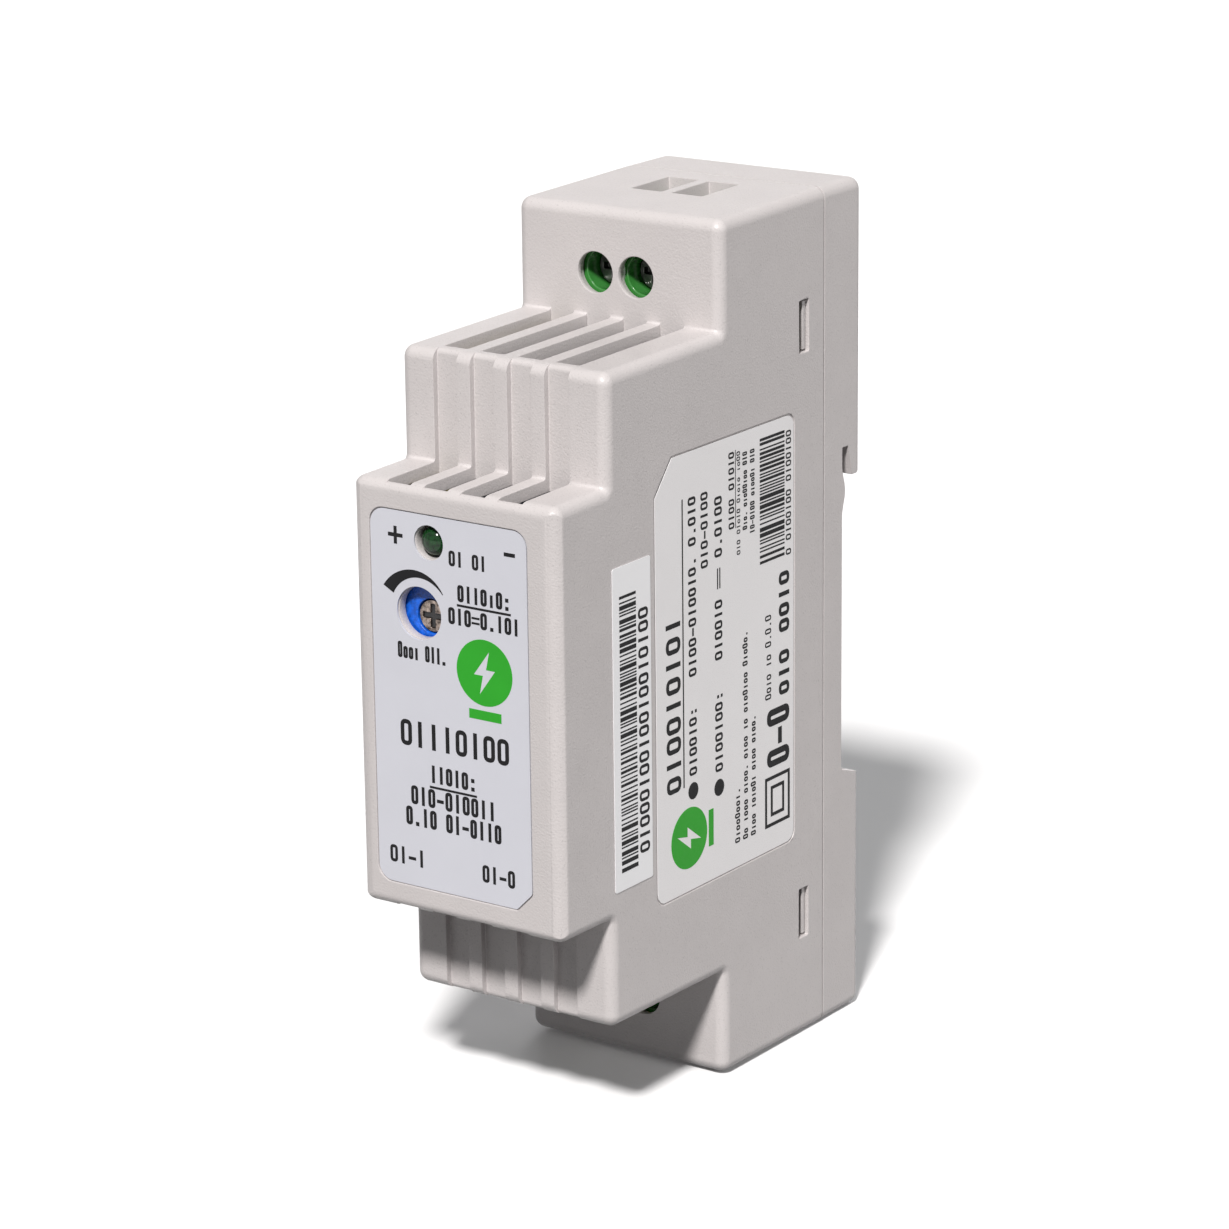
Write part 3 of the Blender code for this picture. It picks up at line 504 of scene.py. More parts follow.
def vent_cutters(side):
    """Slots and grooves of one end: side is 1 for the top and -1 for the bottom."""
    cutters = []
    for i in range(VENT_COUNT):
        x = around(VENT_X + (i - (VENT_COUNT - 1) / 2) * VENT_PITCH, VENT_WIDTH)
        mid_z = (side * (MID_Z - WALL - OVER), side * (MID_Z + EDGE_R))
        cutters += [
            box("mid_slot", x, (STEP_Y + MID_LIP, TERM_Y), sorted(mid_z)),
            prism("nose_slot", "X", [[(y, side * z) for y, z in nose_slot()]], x),
        ]
    return cutters


def terminal_openings(side):
    """Screwdriver holes in the terminal face and wire windows in the end of the case."""
    cutters = []
    for x in pole_places():
        at = (x, side * TERMINAL_Z)
        hole = [(HOLE_R, TERM_Y - OVER), (HOLE_R, TERM_Y + WALL + OVER / 2)]
        counterbore = [(COUNTERBORE_R, TERM_Y + HOLE_LIP),
                       (COUNTERBORE_R, TERM_Y + WALL + OVER / 3)]
        cutters += [
            turned("screw_hole", "Y", at, hole),
            turned("counterbore", "Y", at, counterbore),
            box("wire_window", around(x, WIRE_WIDTH), WIRE_Y,
                sorted((side * (DUCT_Z - OVER), side * (TERM_Z + OVER)))),
        ]
    return cutters


def label_outline(margin=0.0):
    """The front label, with its lower right corner cut off, in (x, z)."""
    left, right = LABEL_X[0] - margin, LABEL_X[1] + margin
    top, bottom = LABEL_Z + margin, -LABEL_Z - margin
    return rounded([
        (left, top, LABEL_CORNER), (left, bottom, LABEL_CORNER),
        (right - LABEL_CHAMFER, bottom, LABEL_CORNER / 4),
        (right, bottom + LABEL_CHAMFER, LABEL_CORNER / 4), (right, top, LABEL_CORNER),
    ])


def side_label_outline(margin=0.0):
    """The rating label, with its upper front corner cut off, in (y, z)."""
    front, back = SIDE_Y[0] - margin, SIDE_Y[1] + margin
    bottom, top = SIDE_Z[0] - margin, SIDE_Z[1] + margin
    cut_y, cut_z = SIDE_CHAMFER
    small = SIDE_CORNER / 4
    return rounded([
        (back, top, SIDE_CORNER), (front + cut_y, top, small), (front, top - cut_z, small),
        (front, bottom, SIDE_CORNER), (back, bottom, SIDE_CORNER),
    ])


def panel_holes(margin=0.0):
    """Cutters of the LED's and the trimmer's holes, through the front panel."""
    low, high = FRONT_Y - OVER, FRONT_Y + WALL + OVER / 2
    return [
        turned("panel_hole", "Y", at, [(radius + margin, low), (radius + margin, high)], 64)
        for at, radius in ((LED_AT, LED_HOLE_R), (TRIMMER_HOLE_AT, TRIMMER_HOLE_R))
    ]


def wire_duct(side):
    """The thick walls round both wire windows of one end."""
    reach = POLE_PITCH / 2 + WIRE_WIDTH / 2 + WALL / 2
    end_z = TERM_Z - 1.1 * MM  # inside the end wall
    return box("wire_duct", around(CIRCUIT_X, 2 * reach), DUCT_Y,
               sorted((side * DUCT_Z, side * end_z)))


def on_lip(point):
    """Where the ledges and grooves run out into a front fillet."""
    if abs(point.x) > 1.5 * VENT_PITCH + VENT_WIDTH:
        return False
    nose_reach, mid_reach = 2.6 * MM, 1.4 * MM
    on_nose = point.y < FRONT_Y + NOSE_LIP - 0.02 * MM and abs(point.z) > NOSE_Z - nose_reach
    on_mid = point.y < STEP_Y + mid_reach and abs(point.z) > height(MID_Z, STEP_Y) - mid_reach
    return on_nose or on_mid


def housing(surface):
    shell = case_blank("housing_shell")
    past = HALF + OVER
    cut(shell, box("behind_parting", (-past, past), (PART_Y - PART_GAP / 2, BACK_Y + OVER),
                   (-TERM_Z - OVER, TERM_Z + OVER)))
    cut(shell, nose_corner(-1), nose_corner(1))
    cut(shell, prism("hollow", "X", [stepped_outline(WALL, BACK_Y)],
                     (-HALF + WALL, HALF - WALL)))
    for side in (1, -1):
        join(shell, wire_duct(side))
        cut(shell, *vent_cutters(side), *terminal_openings(side))
        for x in (-1, 1):
            cut(shell, box("snap_window", sorted((x * (HALF - WALL - OVER), x * past)), SNAP_Y,
                           around(side * SNAP_Z, SNAP_HEIGHT)))
    cut(shell, prism("label_recess", "Y", [label_outline(FIT)],
                     (FRONT_Y - OVER, FRONT_Y + RECESS)))
    cut(shell, prism("side_recess", "X", [side_label_outline(1.7 * FIT)],
                     (HALF - SIDE_RECESS, HALF + OVER)))
    cut(shell, *panel_holes())
    soften(shell, SOFT_R, crisp=on_lip)
    finish(shell, "case", surface, "case_plastic", "front_housing")
    remove_tools()


def rail_slot_outline():
    """What the rail slot takes out of the back, in (y, z), from the hook round to the ledge."""
    past = BACK_Y + OVER
    hook_r, ledge_r = 1.0 * MM, 0.8 * MM
    bump = [(BUMP_HEIGHT * (1 - math.cos(2 * math.pi * i / 16)) / 2,
             BUMP_Z[1] + (BUMP_Z[0] - BUMP_Z[1]) * i / 16) for i in range(17)]
    ledge_back = LEDGE_Z - LEDGE_DROP
    return (
        [(past, HOOK_Z + hook_r)]
        + arc((BACK_Y - hook_r, HOOK_Z + hook_r), hook_r, 0, -90)
        + [(HOOK_Y, HOOK_Z), (NOTCH_TOP_Y, NOTCH_TOP_Z), (0, NOTCH_TOP_Z)]
        + bump
        + [(0, LEDGE_Z)]
        + arc((BACK_Y - ledge_r, ledge_back - ledge_r), ledge_r, 75, 0)
        + [(past, ledge_back - ledge_r)]
    )


def snap_arm(shell, x_side, z_side):
    """A springy arm inside the housing's wall, with a catch that fills a snap window."""
    inner, outer = HALF - WALL - 1.2 * MM, HALF - WALL - 0.15 * MM
    z = around(z_side * SNAP_Z, SNAP_HEIGHT + 1.4 * MM)
    foot_y = PART_Y + PART_GAP
    catch_top = HALF - 0.35 * MM
    catch = [(outer - 0.4 * MM, SNAP_Y[0] + 1.45 * MM), (catch_top, SNAP_Y[0] + 1.05 * MM),
             (catch_top, SNAP_Y[1] - 0.15 * MM), (outer - 0.4 * MM, SNAP_Y[1] - 0.15 * MM)]
    join(
        shell,
        box("arm_foot", sorted((x_side * inner, x_side * (outer + 0.6 * MM))),
            (foot_y, foot_y + 2.0 * MM), z),
        box("arm", sorted((x_side * inner, x_side * outer)),
            (SNAP_Y[0] + 1.4 * MM, foot_y + 1.5 * MM), z),
        prism("catch", "Z", [[(x_side * x, y) for x, y in catch]],
              around(z_side * SNAP_Z, SNAP_HEIGHT - 0.4 * MM)),
    )


def cover(surface):
    shell = case_blank("cover_shell", HALF - COVER_STEP)
    past = HALF + OVER
    inside = (-HALF + WALL, HALF - WALL)
    start, floor_y = PART_Y - OVER, -WALL
    hook_wall, channel_wall = 1.8 * MM, 1.2 * MM
    cut(shell, box("before_parting", (-past, past), (FRONT_Y - OVER, PART_Y + PART_GAP / 2),
                   (-TERM_Z - OVER, TERM_Z + OVER)))
    cut(shell, prism("rail_slot", "X", [rail_slot_outline()], (-past, past)))
    cut(shell, box("hollow", inside, (start, floor_y), (-TERM_Z + WALL, TERM_Z - WALL)))
    cut(shell, box("hook_hollow", inside, (start, BACK_Y - WALL),
                   (NOTCH_TOP_Z + hook_wall, TERM_Z - WALL)))
    pocket_x = CHANNEL_HALF + channel_wall
    for side in (-1, 1):
        cut(shell, box("side_pocket", sorted((side * pocket_x, side * (HALF - WALL))),
                       (start, BACK_Y - WALL), (-TERM_Z + WALL, LEDGE_Z - LEDGE_DROP - WALL)))
    channel_z = (-TERM_Z - OVER, LEDGE_Z + OVER)
    cut(shell, box("channel", (-CHANNEL_HALF, CHANNEL_HALF), CHANNEL_Y, channel_z))
    cut(shell, box("channel_mouth", (-CHANNEL_MOUTH, CHANNEL_MOUTH),
                   (CHANNEL_Y[1] - FIT, BACK_Y + OVER), channel_z))
    boss_half = WINDOW_HALF - SLIDE_GAP
    join(shell, box("spring_boss", (-boss_half, boss_half),
                    (CHANNEL_Y[0] - 0.3 * MM, CHANNEL_Y[1] - SLIDE_GAP), BOSS_Z))
    for x in (-1, 1):
        for z in (-1, 1):
            snap_arm(shell, x, z)
    soften(shell, SOFT_R)
    finish(shell, "case", surface, "case_plastic", "rear_cover")
    remove_tools()


# Prints: rows of rings, bars and dots stand for the small print and say nothing.


def mark(kind, left, low, cell, tall, bold):
    """One mark of a row, as outlines: rings, bars, dots and signs."""
    stroke = bold * tall
    middle = left + cell / 2
    top = low + tall * (0.74 if kind in "oi" else 1.0)

    def bar(x0, x1, y0, y1):
        return [(x0, y0), (x1, y0), (x1, y1), (x0, y1)]

    if kind in "0o":
        x0, x1 = left + 0.09 * cell, left + 0.91 * cell
        radius = 0.42 * (x1 - x0)
        inner = max(0.2 * radius, radius - stroke)
        return [
            rounded([(x0, low, radius), (x1, low, radius), (x1, top, radius),
                     (x0, top, radius)], 4),
            rounded([(x0 + stroke, low + stroke, inner), (x1 - stroke, low + stroke, inner),
                     (x1 - stroke, top - stroke, inner), (x0 + stroke, top - stroke, inner)], 4),
        ]
    if kind in "1i":
        return [bar(middle - stroke / 2, middle + stroke / 2, low, top)]
    if kind == "-":
        centre = low + 0.42 * tall
        return [bar(left + 0.1 * cell, left + 0.9 * cell, centre - stroke / 2,
                    centre + stroke / 2)]
    if kind == "=":
        return [bar(left, left + cell, low + at * tall - stroke / 3,
                    low + at * tall + stroke / 3) for at in (0.3, 0.6)]
    if kind == "+":
        half, thick, centre = 0.46 * cell, stroke / 2, low + 0.45 * tall
        return [[(middle - half, centre - thick), (middle - thick, centre - thick),
                 (middle - thick, centre - half), (middle + thick, centre - half),
                 (middle + thick, centre - thick), (middle + half, centre - thick),
                 (middle + half, centre + thick), (middle + thick, centre + thick),
                 (middle + thick, centre + half), (middle - thick, centre + half),
                 (middle - thick, centre + thick), (middle - half, centre + thick)]]
    if kind in ".:":
        size = 0.6 * stroke
        heights = (size,) if kind == "." else (size, 0.6 * tall)
        return [bar(middle - size, middle + size, low + at - size, low + at + size)
                for at in heights]
    if kind == "*":
        return [arc((middle, low + tall / 2), 0.66 * tall, 0, 337.5, 15)]
    return []


def row(pattern, start, end, low, tall, bold):
    """A row of marks that fills start to end, standing on low."""
    cell = (end - start) / len(pattern)
    outlines = []
    for i, kind in enumerate(pattern):
        outlines += mark(kind, start + i * cell, low, cell, tall, bold)
    return outlines


def in_mm(outlines):
    return [[(across * MM, up * MM) for across, up in outline] for outline in outlines]


def upright(outlines):
    """Turns rows of (along, up) so that they run up the side of the case, in (y, z)."""
    return [[(-up, along) for along, up in outline] for outline in outlines]


def bars(start, end, low, tall, seed):
    """The bars of a bar code between start and end."""
    chance = random.Random(seed)
    outlines, at = [], start
    while at < end:
        wide = chance.choice((0.16, 0.16, 0.3, 0.45))
        if at + wide <= end:
            outlines.append([(at, low), (at + wide, low), (at + wide, low + tall),
                             (at, low + tall)])
        at += wide + chance.choice((0.16, 0.22, 0.34))
    return outlines


def line(start, end, low, thick):
    return [[(start, low), (end, low), (end, low + thick), (start, low + thick)]]


def badge(centre, radius):
    """A disc with a bolt left open in it."""
    x, z = centre
    bolt = [(0.18, 0.66), (-0.38, -0.09), (-0.06, -0.09), (-0.18, -0.66), (0.38, 0.1),
            (0.06, 0.1)]
    return [
        arc(centre, radius, 0, 352.5, 47),
        [(x + across * radius, z + up * radius) for across, up in bolt],
    ]


def swoosh(centre):
    """The tapering arc over the trimmer, from its thick end to its thin one."""
    outer, inner = [], []
    for i in range(25):
        share = i / 24
        angle = math.radians(152 + (38 - 152) * share)
        radius = 5.0 - 1.1 * share
        thick = 1.35 * (1 - share) + 0.08
        for points, reach in ((outer, radius), (inner, radius - thick)):
            points.append((centre[0] / MM + reach * math.cos(angle),
                           centre[1] / MM + reach * math.sin(angle)))
    return outer + inner[::-1]


def front_print():
    outlines = [swoosh(TRIMMER_HOLE_AT)]
    outlines += row("+", -8.2, -6.2, 16.3, 1.9, 0.21) + row("-", 6.1, 7.8, 16.4, 1.8, 0.22)
    outlines += row("01 01", -0.65, 4.15, 14.95, 1.6, 0.19)
    outlines += row("0110i0:", 0.35, 7.0, 11.4, 1.75, 0.19) + line(0.35, 7.0, 10.9, 0.24)
    outlines += row("010=0.101", -0.85, 8.1, 8.95, 1.75, 0.19)
    outlines += row("0ooi 011.", -7.3, -1.1, 4.45, 1.7, 0.18)
    outlines += row("01110100", -7.3, 6.6, -4.75, 2.75, 0.17)
    outlines += row("11010:", -3.6, 2.35, -8.2, 1.85, 0.19) + line(-3.6, 2.35, -8.8, 0.24)
    outlines += row("010-010011", -6.1, 4.75, -10.9, 2.0, 0.18)
    outlines += row("0.10 01-0110", -6.8, 5.4, -13.2, 2.0, 0.18)
    outlines += row("01-1", -9.0, -4.3, -17.6, 1.85, 0.18)
    outlines += row("01-0", 2.75, 7.0, -17.6, 1.85, 0.18)
    return in_mm(outlines)


def side_print():
    outlines = row("010010101", -12.2, 7.0, 30.9, 2.6, 0.2) + line(-11.9, 18.8, 30.3, 0.2)
    outlines += row("* 010010:   0100-010010. 0.010", -13.2, 18.8, 28.0, 1.4, 0.2)
    outlines += row("010-0100", 10.6, 18.8, 25.8, 1.3, 0.2)
    outlines += row("* 0100100:   010010 == 0.0100", -14.2, 17.8, 23.2, 1.4, 0.2)
    outlines += row("0ioo0ooi.", -20.8, -14.7, 20.0, 0.95, 0.2)
    outlines += row("0o iooo oioo. oioo io oio0ioo 0io0o.", -20.8, 2.1, 18.5, 0.95, 0.2)
    outlines += row("0ioo ioio0i oioo oioo.", -20.8, -7.5, 17.0, 0.95, 0.2)
    outlines += row("0100 01010", 13.6, 21.9, 20.9, 1.05, 0.2) + line(13.6, 21.9, 20.6, 0.1)
    outlines += row("010 01o10 0ioio io00", 10.6, 21.7, 19.8, 0.65, 0.19)
    outlines += row("0io. oio00ioo 010", 13.0, 21.4, 18.5, 0.85, 0.19)
    outlines += row("10-0100 oioo0i 010", 12.3, 21.4, 17.1, 0.85, 0.19)
    outlines += bars(8.6, 22.6, 11.4, 4.7, seed=5)
    outlines += row("0 0100100 0100100", 8.4, 22.0, 10.15, 1.0, 0.18)
    outlines += row("010 0010", -6.8, 7.0, 10.5, 2.0, 0.24)
    outlines += row("0oio io 0.0.0", -6.6, 2.8, 14.0, 1.15, 0.15)
    outlines += row("0-0", -14.4, -7.6, 10.5, 4.3, 0.17)
    for inset in (0, 1.1):
        for edge in (0, 0.38):
            margin = inset + edge
            outlines.append([(-20.8 + margin, 10.4 + margin), (-15.2 - margin, 10.4 + margin),
                             (-15.2 - margin, 15.2 - margin), (-20.8 + margin, 15.2 - margin)])
    return upright(in_mm(outlines))


def strip_print():
    outlines = bars(-17.8, 11.6, 38.9, 2.9, seed=11)
    outlines += row("0100010010010010100", -16.8, 9.4, 36.8, 1.75, 0.19)
    return upright(in_mm(outlines))


def labels(film, sticker, paper, ink, green):
    label_low, label_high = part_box("front_label")
    face_y = label_low.y
    label = prism("front_film", "Y", [label_outline()], (face_y, label_high.y))
    cut(label, *panel_holes(FIT))
    finish(label, "case", film, "label_film", "front_label")
    side_low, side_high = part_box("side_label")
    finish(prism("rating_film", "X", [side_label_outline()], (side_low.x, side_high.x)),
           "case", sticker, "label_film", "side_label")
    strip_low, strip_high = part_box("serial_label")
    strip_corner = 0.25 * MM
    strip = rounded([(strip_low.y, strip_low.z, strip_corner),
                     (strip_high.y, strip_low.z, strip_corner),
                     (strip_high.y, strip_high.z, strip_corner),
                     (strip_low.y, strip_high.z, strip_corner)])
    finish(prism("serial_strip", "X", [strip], (strip_low.x, strip_high.x)),
           "case", paper, "label_film", "serial_label")
    on_front = (face_y - PRINT, face_y + PRINT)
    on_side = (side_high.x - PRINT, side_high.x + PRINT)
    on_strip = (strip_high.x - PRINT, strip_high.x + PRINT)
    side_badge = upright(in_mm(badge((-17.6, 29.5), 3.3) + line(-19.6, -15.6, 25.0, 0.9)))
    front_badge = in_mm(badge((3.6, 4.5), 3.45) + line(1.6, 5.6, -0.45, 1.0))
    for name, axis, outlines, span, colour in (
        ("front_ink", "Y", front_print(), on_front, ink),
        ("front_badge", "Y", front_badge, on_front, green),
        ("side_ink", "X", side_print(), on_side, ink),
        ("side_badge", "X", side_badge, on_side, green),
        ("strip_ink", "X", strip_print(), on_strip, ink),
    ):
        finish(prism(name, axis, outlines, span), "case", colour, "label_film")
    remove_tools()


# LED, trimmer, terminals and latch


def signal_led(green, black):
    """The LED's dome, a black ring of painted shade in the gap round it, and the legs that the CAD
    node has.
    """
    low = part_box("signal_led")[0]
    tip, base = FRONT_Y + 0.12 * MM, FRONT_Y + 5.4 * MM
    radius, dome = 1.52 * MM, 1.2 * MM
    profile = [(0.02 * MM, tip)]
    profile += [(radius * math.sin(math.radians(a)), tip + dome * (1 - math.cos(math.radians(a))))
                for a in range(6, 91, 6)]
    profile += [(radius, base - 0.95 * MM), (radius + 0.14 * MM, base - 0.9 * MM),
                (radius + 0.14 * MM, base)]
    led = turned("led_lens", "Y", LED_AT, profile)
    bend_y = base + 2.6 * MM
    leg_reach, leg_width = 1.27 * MM, 0.5 * MM
    for z in (-leg_reach, leg_reach):
        leg_z = around(LED_AT[1] + z, leg_width)
        join(led,
             box("leg", around(LED_AT[0], leg_width), (base - 0.3 * MM, bend_y), leg_z),
             box("foot", (low.x, LED_AT[0] + leg_width / 2), (bend_y - leg_width, bend_y),
                 leg_z))
    finish(led, "case", green, "led_green", "signal_led")
    # A black ring set back round the dome: painted shade for the dark gap between dome and hole.
    shade_ring_y = (FRONT_Y + 1.35 * MM, FRONT_Y + 2.6 * MM)
    outer, inner = LED_HOLE_R - 0.03 * MM, radius - 0.1 * MM
    ring = turned("led_gap_shade_ring", "Y", LED_AT, [(outer, shade_ring_y[0]), (outer, shade_ring_y[1])], 64)
    cut(ring, turned("gap_shade_ring_bore", "Y", LED_AT,
                     [(inner, shade_ring_y[0] - OVER), (inner, shade_ring_y[1] + OVER)], 64))
    finish(ring, "case", black, "black_plastic")
    remove_tools()


def rotor_slot_shade(black):
    """A black cross of painted shade under the cross slot of the trimmer's rotor, so that the slot
    reads dark.
    """
    low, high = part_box("trimmer_rotor")
    middle = (low + high) / 2
    long, short = 1.23 * MM, 0.28 * MM
    signs = [(1, 1), (-1, 1), (-1, -1), (1, -1)]
    cross = []
    for i, (x, z) in enumerate(signs):
        corners = [(long, short), (short, short), (short, long)]
        for across, up in corners if i % 2 == 0 else corners[::-1]:
            cross.append((middle.x + x * across, middle.z + z * up))
    # The black cross is painted shade for the depth of the rotor's slot.
    finish(prism("rotor_slot_painted_shade", "Y", [cross], (low.y + 0.22 * MM, low.y + 0.58 * MM)),
           "trimmer_rotor", black, "black_plastic")
    remove_tools()


def refined(node, body, surface, slot, radius):
    """The CAD node's own shape, with its flat faces whole and its edges rounded."""
    mesh = frame["nodes"][node].data.copy()
    shape = bmesh.new()
    shape.from_mesh(mesh)
    bmesh.ops.remove_doubles(shape, verts=shape.verts, dist=1e-6)
    bmesh.ops.dissolve_limit(shape, angle_limit=math.radians(1.0), verts=shape.verts,
                             edges=shape.edges)
    shape.to_mesh(mesh)
    shape.free()
    piece = make_object(f"{node}_detail", mesh)
    soften(piece, radius)
    finish(piece, body, surface, slot, node)


def rail_latch(surface):
    """The slider, with the window round its spring and a slot to pry it by."""
    low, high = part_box("rail_latch")
    flange, rib = CHANNEL_HALF - SLIDE_GAP, CHANNEL_MOUTH - SLIDE_GAP
    mid_y, back_y = CHANNEL_Y[1] - SLIDE_GAP, BACK_Y - SLIDE_GAP
    shoulder_z = LEDGE_Z - LEDGE_DROP - 0.6 * MM
    latch = prism("latch_slider", "X", [[
        (low.y, low.z), (back_y, low.z), (back_y, shoulder_z + 1.2 * MM),
        (low.y + 0.9 * MM, high.z), (low.y, high.z),
    ]], (-rib, rib))
    join(latch, box("latch_flange", (-flange, flange), (low.y, mid_y),
                    (low.z + 1.5 * MM, shoulder_z)))
    cut(latch, box("latch_window", (-WINDOW_HALF, WINDOW_HALF), (0, BACK_Y + OVER), WINDOW_Z))
    cut(latch, box("pry_slot", (-2.5 * MM, 2.5 * MM), (low.y + 1.2 * MM, BACK_Y + OVER),
                   (low.z + 1.4 * MM, low.z + 3.0 * MM)))
    grip_count, grip_pitch, first_grip = 5, 1.1 * MM, -26.4 * MM
    for i in range(grip_count):
        grip_z = first_grip + i * grip_pitch
        cut(latch, box("grip", (-2.6 * MM, 2.6 * MM), (back_y - 0.3 * MM, BACK_Y + OVER),
                       (grip_z, grip_z + 0.45 * MM)))
    soften(latch, SOFT_R)
    finish(latch, "rail_latch", surface, "latch_plastic", "rail_latch")
    remove_tools()


def latch_spring(steel):
    """The coil between the cover's boss and the latch, which in the real part shortens as the
    latch is drawn; here it stays at the length of the CAD node.
    """
    low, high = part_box("latch_spring")
    wire = 0.17 * MM
    centre = (low + high) / 2
    radius = (high.x - low.x) / 2 - wire
    turns, per_turn = 6, 20
    curve = bpy.data.curves.new("spring_coil", "CURVE")
    curve.dimensions = "3D"
    curve.bevel_depth = wire
    curve.bevel_resolution = 3
    curve.use_fill_caps = True
    spline = curve.splines.new("POLY")
    spline.points.add(turns * per_turn)
    for i, point in enumerate(spline.points):
        angle = 2 * math.pi * i / per_turn
        rise = low.z + wire + (high.z - low.z - 2 * wire) * i / (turns * per_turn)
        point.co = (centre.x + radius * math.cos(angle), centre.y + radius * math.sin(angle),
                    rise, 1)
    spring = finish(make_object("spring_coil", curve_mesh(curve)), "case", steel,
                    "spring_steel", "latch_spring")
    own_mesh(spring)


# node: surface, slot and edge radius in mm
NODE_SURFACES = {
    "trimmer_body": ("blue", "trimmer_blue", 0.12),
    "trimmer_rotor": ("bronze", "zinc_steel", 0.06),
    "output_terminal_block": ("green", "terminal_plastic", 0.1),
    "input_terminal_block": ("green", "terminal_plastic", 0.1),
    "main_board": ("laminate", "board_laminate", 0.05),
    "power_board": ("laminate", "board_laminate", 0.05),
    "varistor": ("blue_coat", "blue_coating", 0.3),
    "y_capacitor": ("blue_coat", "blue_coating", 0.3),
    "input_fuse": ("fuse", "fuse_coating", 0.3),
    "inrush_thermistor": ("black_coat", "black_coating", 0.3),
    "x_capacitor": ("yellow", "film_capacitor", 0.3),
    "bridge_rectifier": ("black", "black_plastic", 0.15),
    "bulk_capacitor": ("can", "capacitor_sleeve", 0.4),
    "controller_ic": ("black", "black_plastic", 0.15),
    "optocoupler": ("grey", "grey_plastic", 0.15),
    "output_diode": ("black", "black_plastic", 0.2),
    "output_capacitor_1": ("can", "capacitor_sleeve", 0.4),
    "output_capacitor_2": ("can", "capacitor_sleeve", 0.4),
    "output_inductor": ("grey", "grey_plastic", 0.3),
    "choke_core": ("ferrite", "ferrite", 0.2),
    "choke_winding_upper": ("copper", "enamelled_copper", 0.3),
    "choke_winding_lower": ("copper", "enamelled_copper", 0.3),
    "transformer_core": ("ferrite", "ferrite", 0.2),
    "transformer_winding": ("copper", "enamelled_copper", 0.1),
    "transformer_bobbin": ("black", "black_plastic", 0.1),
}
for end in ("output", "input"):
    for pole in (1, 2):
        # The screws take the steel darkened as painted shade.
        NODE_SURFACES[f"{end}_terminal_screw_{pole}"] = ("shade_darkened_steel", "zinc_steel", 0.1)
        NODE_SURFACES[f"{end}_clamp_cage_{pole}"] = ("steel", "zinc_steel", 0.08)
        NODE_SURFACES[f"{end}_contact_bar_{pole}"] = ("brass", "tinned_brass", 0.06)


def details(surfaces):
    """Every other CAD node, with its edges rounded and its own surface."""
    for node, (surface, slot, radius) in NODE_SURFACES.items():
        body = node if node in frame["bodies"] else "case"
        refined(node, body, surfaces[surface], slot, radius * MM)


# Studio


def camera():
    """The view from the right and above, with a long lens."""
    azimuth, elevation, roll = (math.radians(a) for a in (35.295, 16.254, -0.670))
    back = Vector((math.sin(azimuth) * math.cos(elevation),
                   -math.cos(azimuth) * math.cos(elevation), math.sin(elevation)))
    level = Vector((math.cos(azimuth), math.sin(azimuth), 0))
    rise = back.cross(level)
    right = math.cos(roll) * level + math.sin(roll) * rise
    up = -math.sin(roll) * level + math.cos(roll) * rise
    lens = bpy.data.cameras.new("camera")
    lens.sensor_width = 36
    lens.lens = 128.5
    lens.clip_start = 0.01
    lens.clip_end = 50
    made = bpy.data.objects.new("camera", lens)
    turn = Matrix((right, up, back)).transposed().to_4x4()
    made.matrix_world = Matrix.Translation((0.25471, -0.3843, 0.13178)) @ turn
    bpy.context.scene.collection.objects.link(made)
    bpy.context.scene.camera = made


def sun(name, travel, energy, degrees, colour=(1, 1, 1)):
    """A light whose rays travel along a direction, spread over some degrees."""
    data = bpy.data.lights.new(name, "SUN")
    data.energy = energy
    data.angle = math.radians(degrees)
    data.color = colour
    made = bpy.data.objects.new(name, data)
    travel = Vector(travel).normalized()
    made.location = Vector((0, -0.02, 0)) - travel * 0.9
    made.rotation_euler = travel.to_track_quat("-Z", "Y").to_euler()
    bpy.context.scene.collection.objects.link(made)
    return made


def studio():
    scene = bpy.context.scene
    scene.view_settings.view_transform = "Standard"
    world = bpy.data.worlds.new("studio")
    world.use_nodes = True
    nodes, links = world.node_tree.nodes, world.node_tree.links
    sky = nodes["Background"]
    sky.inputs["Color"].default_value = (0.985, 0.99, 1.0, 1)
    seen = nodes.new("ShaderNodeMapRange")  # glossy surfaces mirror a brighter room
    seen.inputs["To Min"].default_value = 0.14
    seen.inputs["To Max"].default_value = 0.55
    links.new(nodes.new("ShaderNodeLightPath").outputs["Is Glossy Ray"], seen.inputs["Value"])
    links.new(seen.outputs["Result"], sky.inputs["Strength"])
    scene.world = world
    sun("key", (-0.36, 0.855, -0.96), 4.05, 7, (1.0, 0.98, 0.965))
    sun("side", (-0.9, 0.12, -0.45), 0.65, 30)
    sun("back", (0.5, -0.85, -0.15), 2.2, 40).visible_glossy = False
    floor = mesh_object("floor", lambda shape: bmesh.ops.create_grid(
        shape, x_segments=1, y_segments=1, size=8,
        matrix=Matrix.Translation((0, 0, -TERM_Z - 0.01 * MM))))
    tools.remove(floor)
    floor.data.materials.append(material("floor_paint", (0.95, 0.95, 0.955), 0.8, mottle=0.01,
                                         mottle_size=0.4, grain_size=2 * MM, grain=0.02 * MM))
    floor.visible_diffuse = False


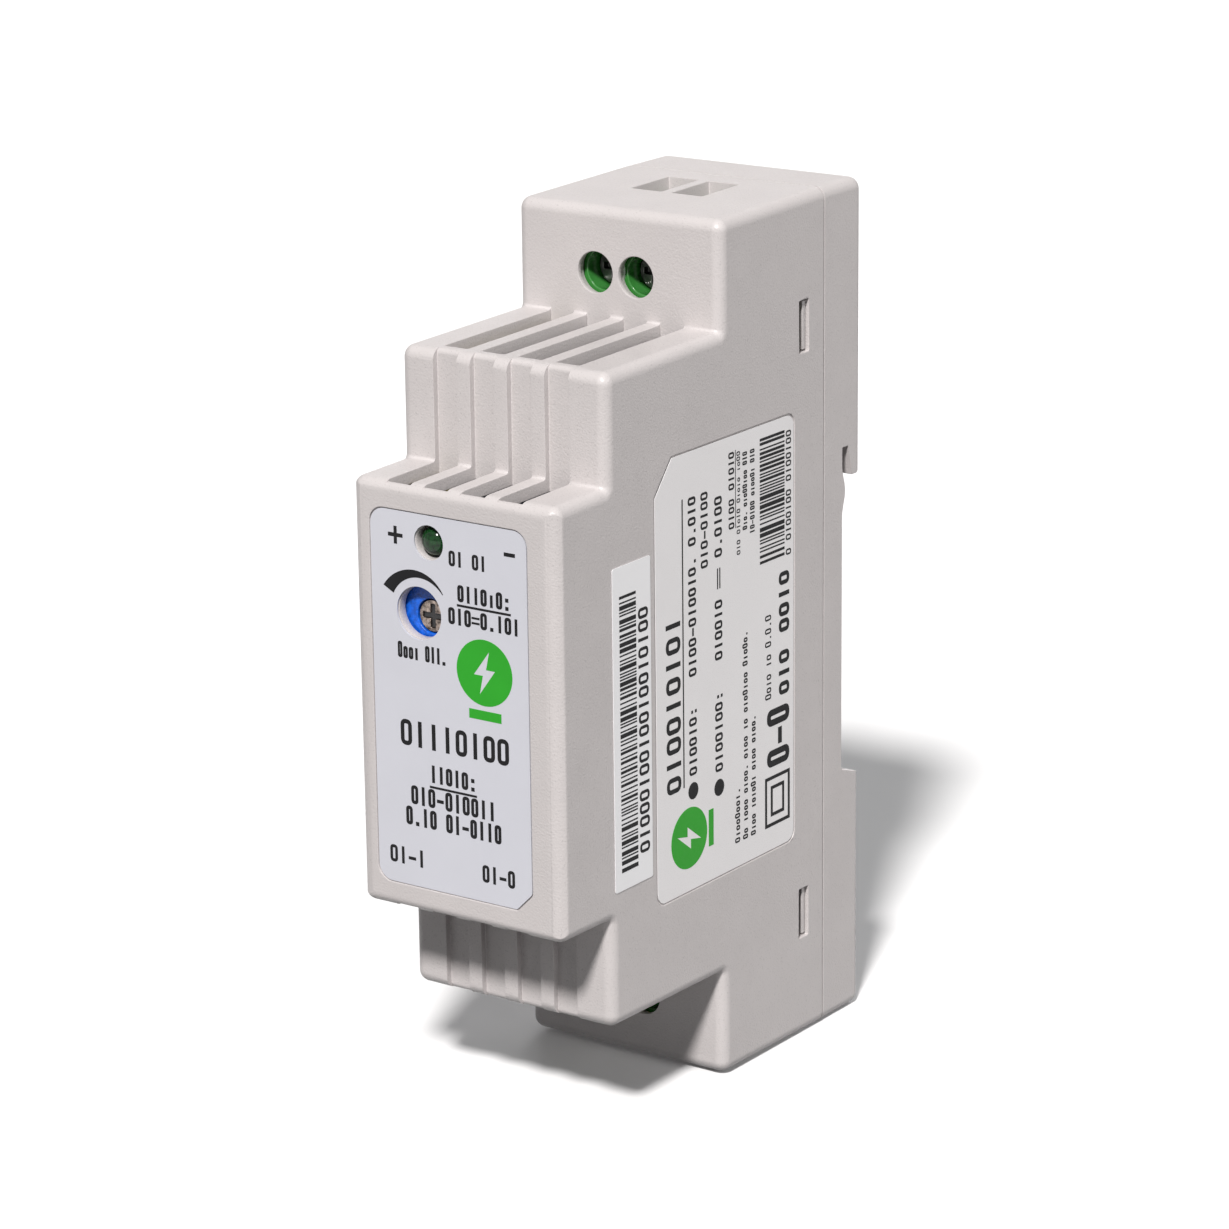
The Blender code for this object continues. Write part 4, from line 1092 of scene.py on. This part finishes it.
def build():
    case = material("case_abs", (0.585, 0.55, 0.545), 0.4, mottle=0.02, grain_size=0.22 * MM,
                    grain=0.04 * MM, specks=0.35)
    film = material("label_polyester", (0.63, 0.635, 0.69), 0.38, mottle=0.012,
                    grain_size=0.12 * MM, grain=0.006 * MM)
    sticker = material("side_sticker", (0.9, 0.88, 0.885), 0.3, mottle=0.01,
                       grain_size=0.1 * MM, grain=0.005 * MM)
    paper = material("strip_paper", (0.97, 0.965, 0.98), 0.35, mottle=0.005,
                     grain_size=0.1 * MM, grain=0.005 * MM)
    ink = material("black_ink", (0.01, 0.01, 0.011), 0.6, mottle=0.2, grain=0.004 * MM, shine=0.15)
    badge_green = material("green_ink", (0.03, 0.36, 0.025), 0.5, mottle=0.05,
                           grain=0.004 * MM, shine=0.2)
    steel = material("zinc_plated_steel", (0.6, 0.59, 0.56), 0.3, 1.0, mottle=0.1,
                     grain_size=0.15 * MM, grain=0.006 * MM)
    black = material("black_moulding", (0.02, 0.02, 0.021), 0.45, mottle=0.15)
    surfaces = {
        "latch": material("latch_pa", (0.03, 0.03, 0.032), 0.42, mottle=0.12, grain=0.015 * MM),
        "blue": material("trimmer_pbt", (0.006, 0.11, 0.6), 0.35, mottle=0.35,
                         mottle_size=0.5 * MM, grain_size=0.25 * MM, grain=0.03 * MM),
        "steel": steel,
        # Screw steel darkened as painted shade, for screws that sit deep in their holes.
        "shade_darkened_steel": material("steel_darkened_as_shade", (0.13, 0.13, 0.125), 0.38, 1.0, mottle=0.25,
                               mottle_size=0.6 * MM, grain_size=0.2 * MM),
        "bronze": material("rotor_bronze", (0.27, 0.22, 0.19), 0.3, 1.0, mottle=0.8,
                           mottle_size=0.45 * MM, grain_size=0.15 * MM, grain=0.015 * MM),
        "green": material("terminal_pa", (0.045, 0.25, 0.045), 0.14, mottle=0.1,
                          grain=0.006 * MM, coat=1.0),
        "laminate": material("laminate", (0.3, 0.26, 0.1), 0.55, mottle=0.12,
                             mottle_size=1 * MM, grain_size=0.4 * MM),
        "blue_coat": material("blue_epoxy", (0.02, 0.12, 0.45), 0.3, mottle=0.1),
        "black_coat": material("black_epoxy", (0.03, 0.03, 0.03), 0.35, mottle=0.2),
        "fuse": material("fuse_lacquer", (0.05, 0.32, 0.18), 0.35, mottle=0.1),
        "yellow": material("yellow_case", (0.75, 0.55, 0.06), 0.4, mottle=0.06),
        "black": black,
        "grey": material("grey_moulding", (0.3, 0.3, 0.31), 0.45, mottle=0.1),
        "can": material("black_sleeve", (0.03, 0.05, 0.12), 0.25, mottle=0.15),
        "ferrite": material("sintered_ferrite", (0.06, 0.06, 0.065), 0.6, mottle=0.2,
                            grain=0.02 * MM),
        "copper": material("enamelled_wire", (0.6, 0.22, 0.07), 0.3, 0.85, mottle=0.15,
                           mottle_size=0.5 * MM),
        "brass": material("tinned_bar", (0.7, 0.64, 0.48), 0.3, 1.0, mottle=0.1),
    }
    housing(case)
    cover(case)
    labels(film, sticker, paper, ink, badge_green)
    signal_led(material("led_resin", (0.004, 0.035, 0.007), 0.12, mottle=0.7,
                        mottle_size=0.35 * MM, grain=0.001 * MM, shine=0.4), black)
    rotor_slot_shade(black)
    rail_latch(surfaces["latch"])
    latch_spring(steel)
    details(surfaces)
    remove_tools()
    camera()
    studio()


build()
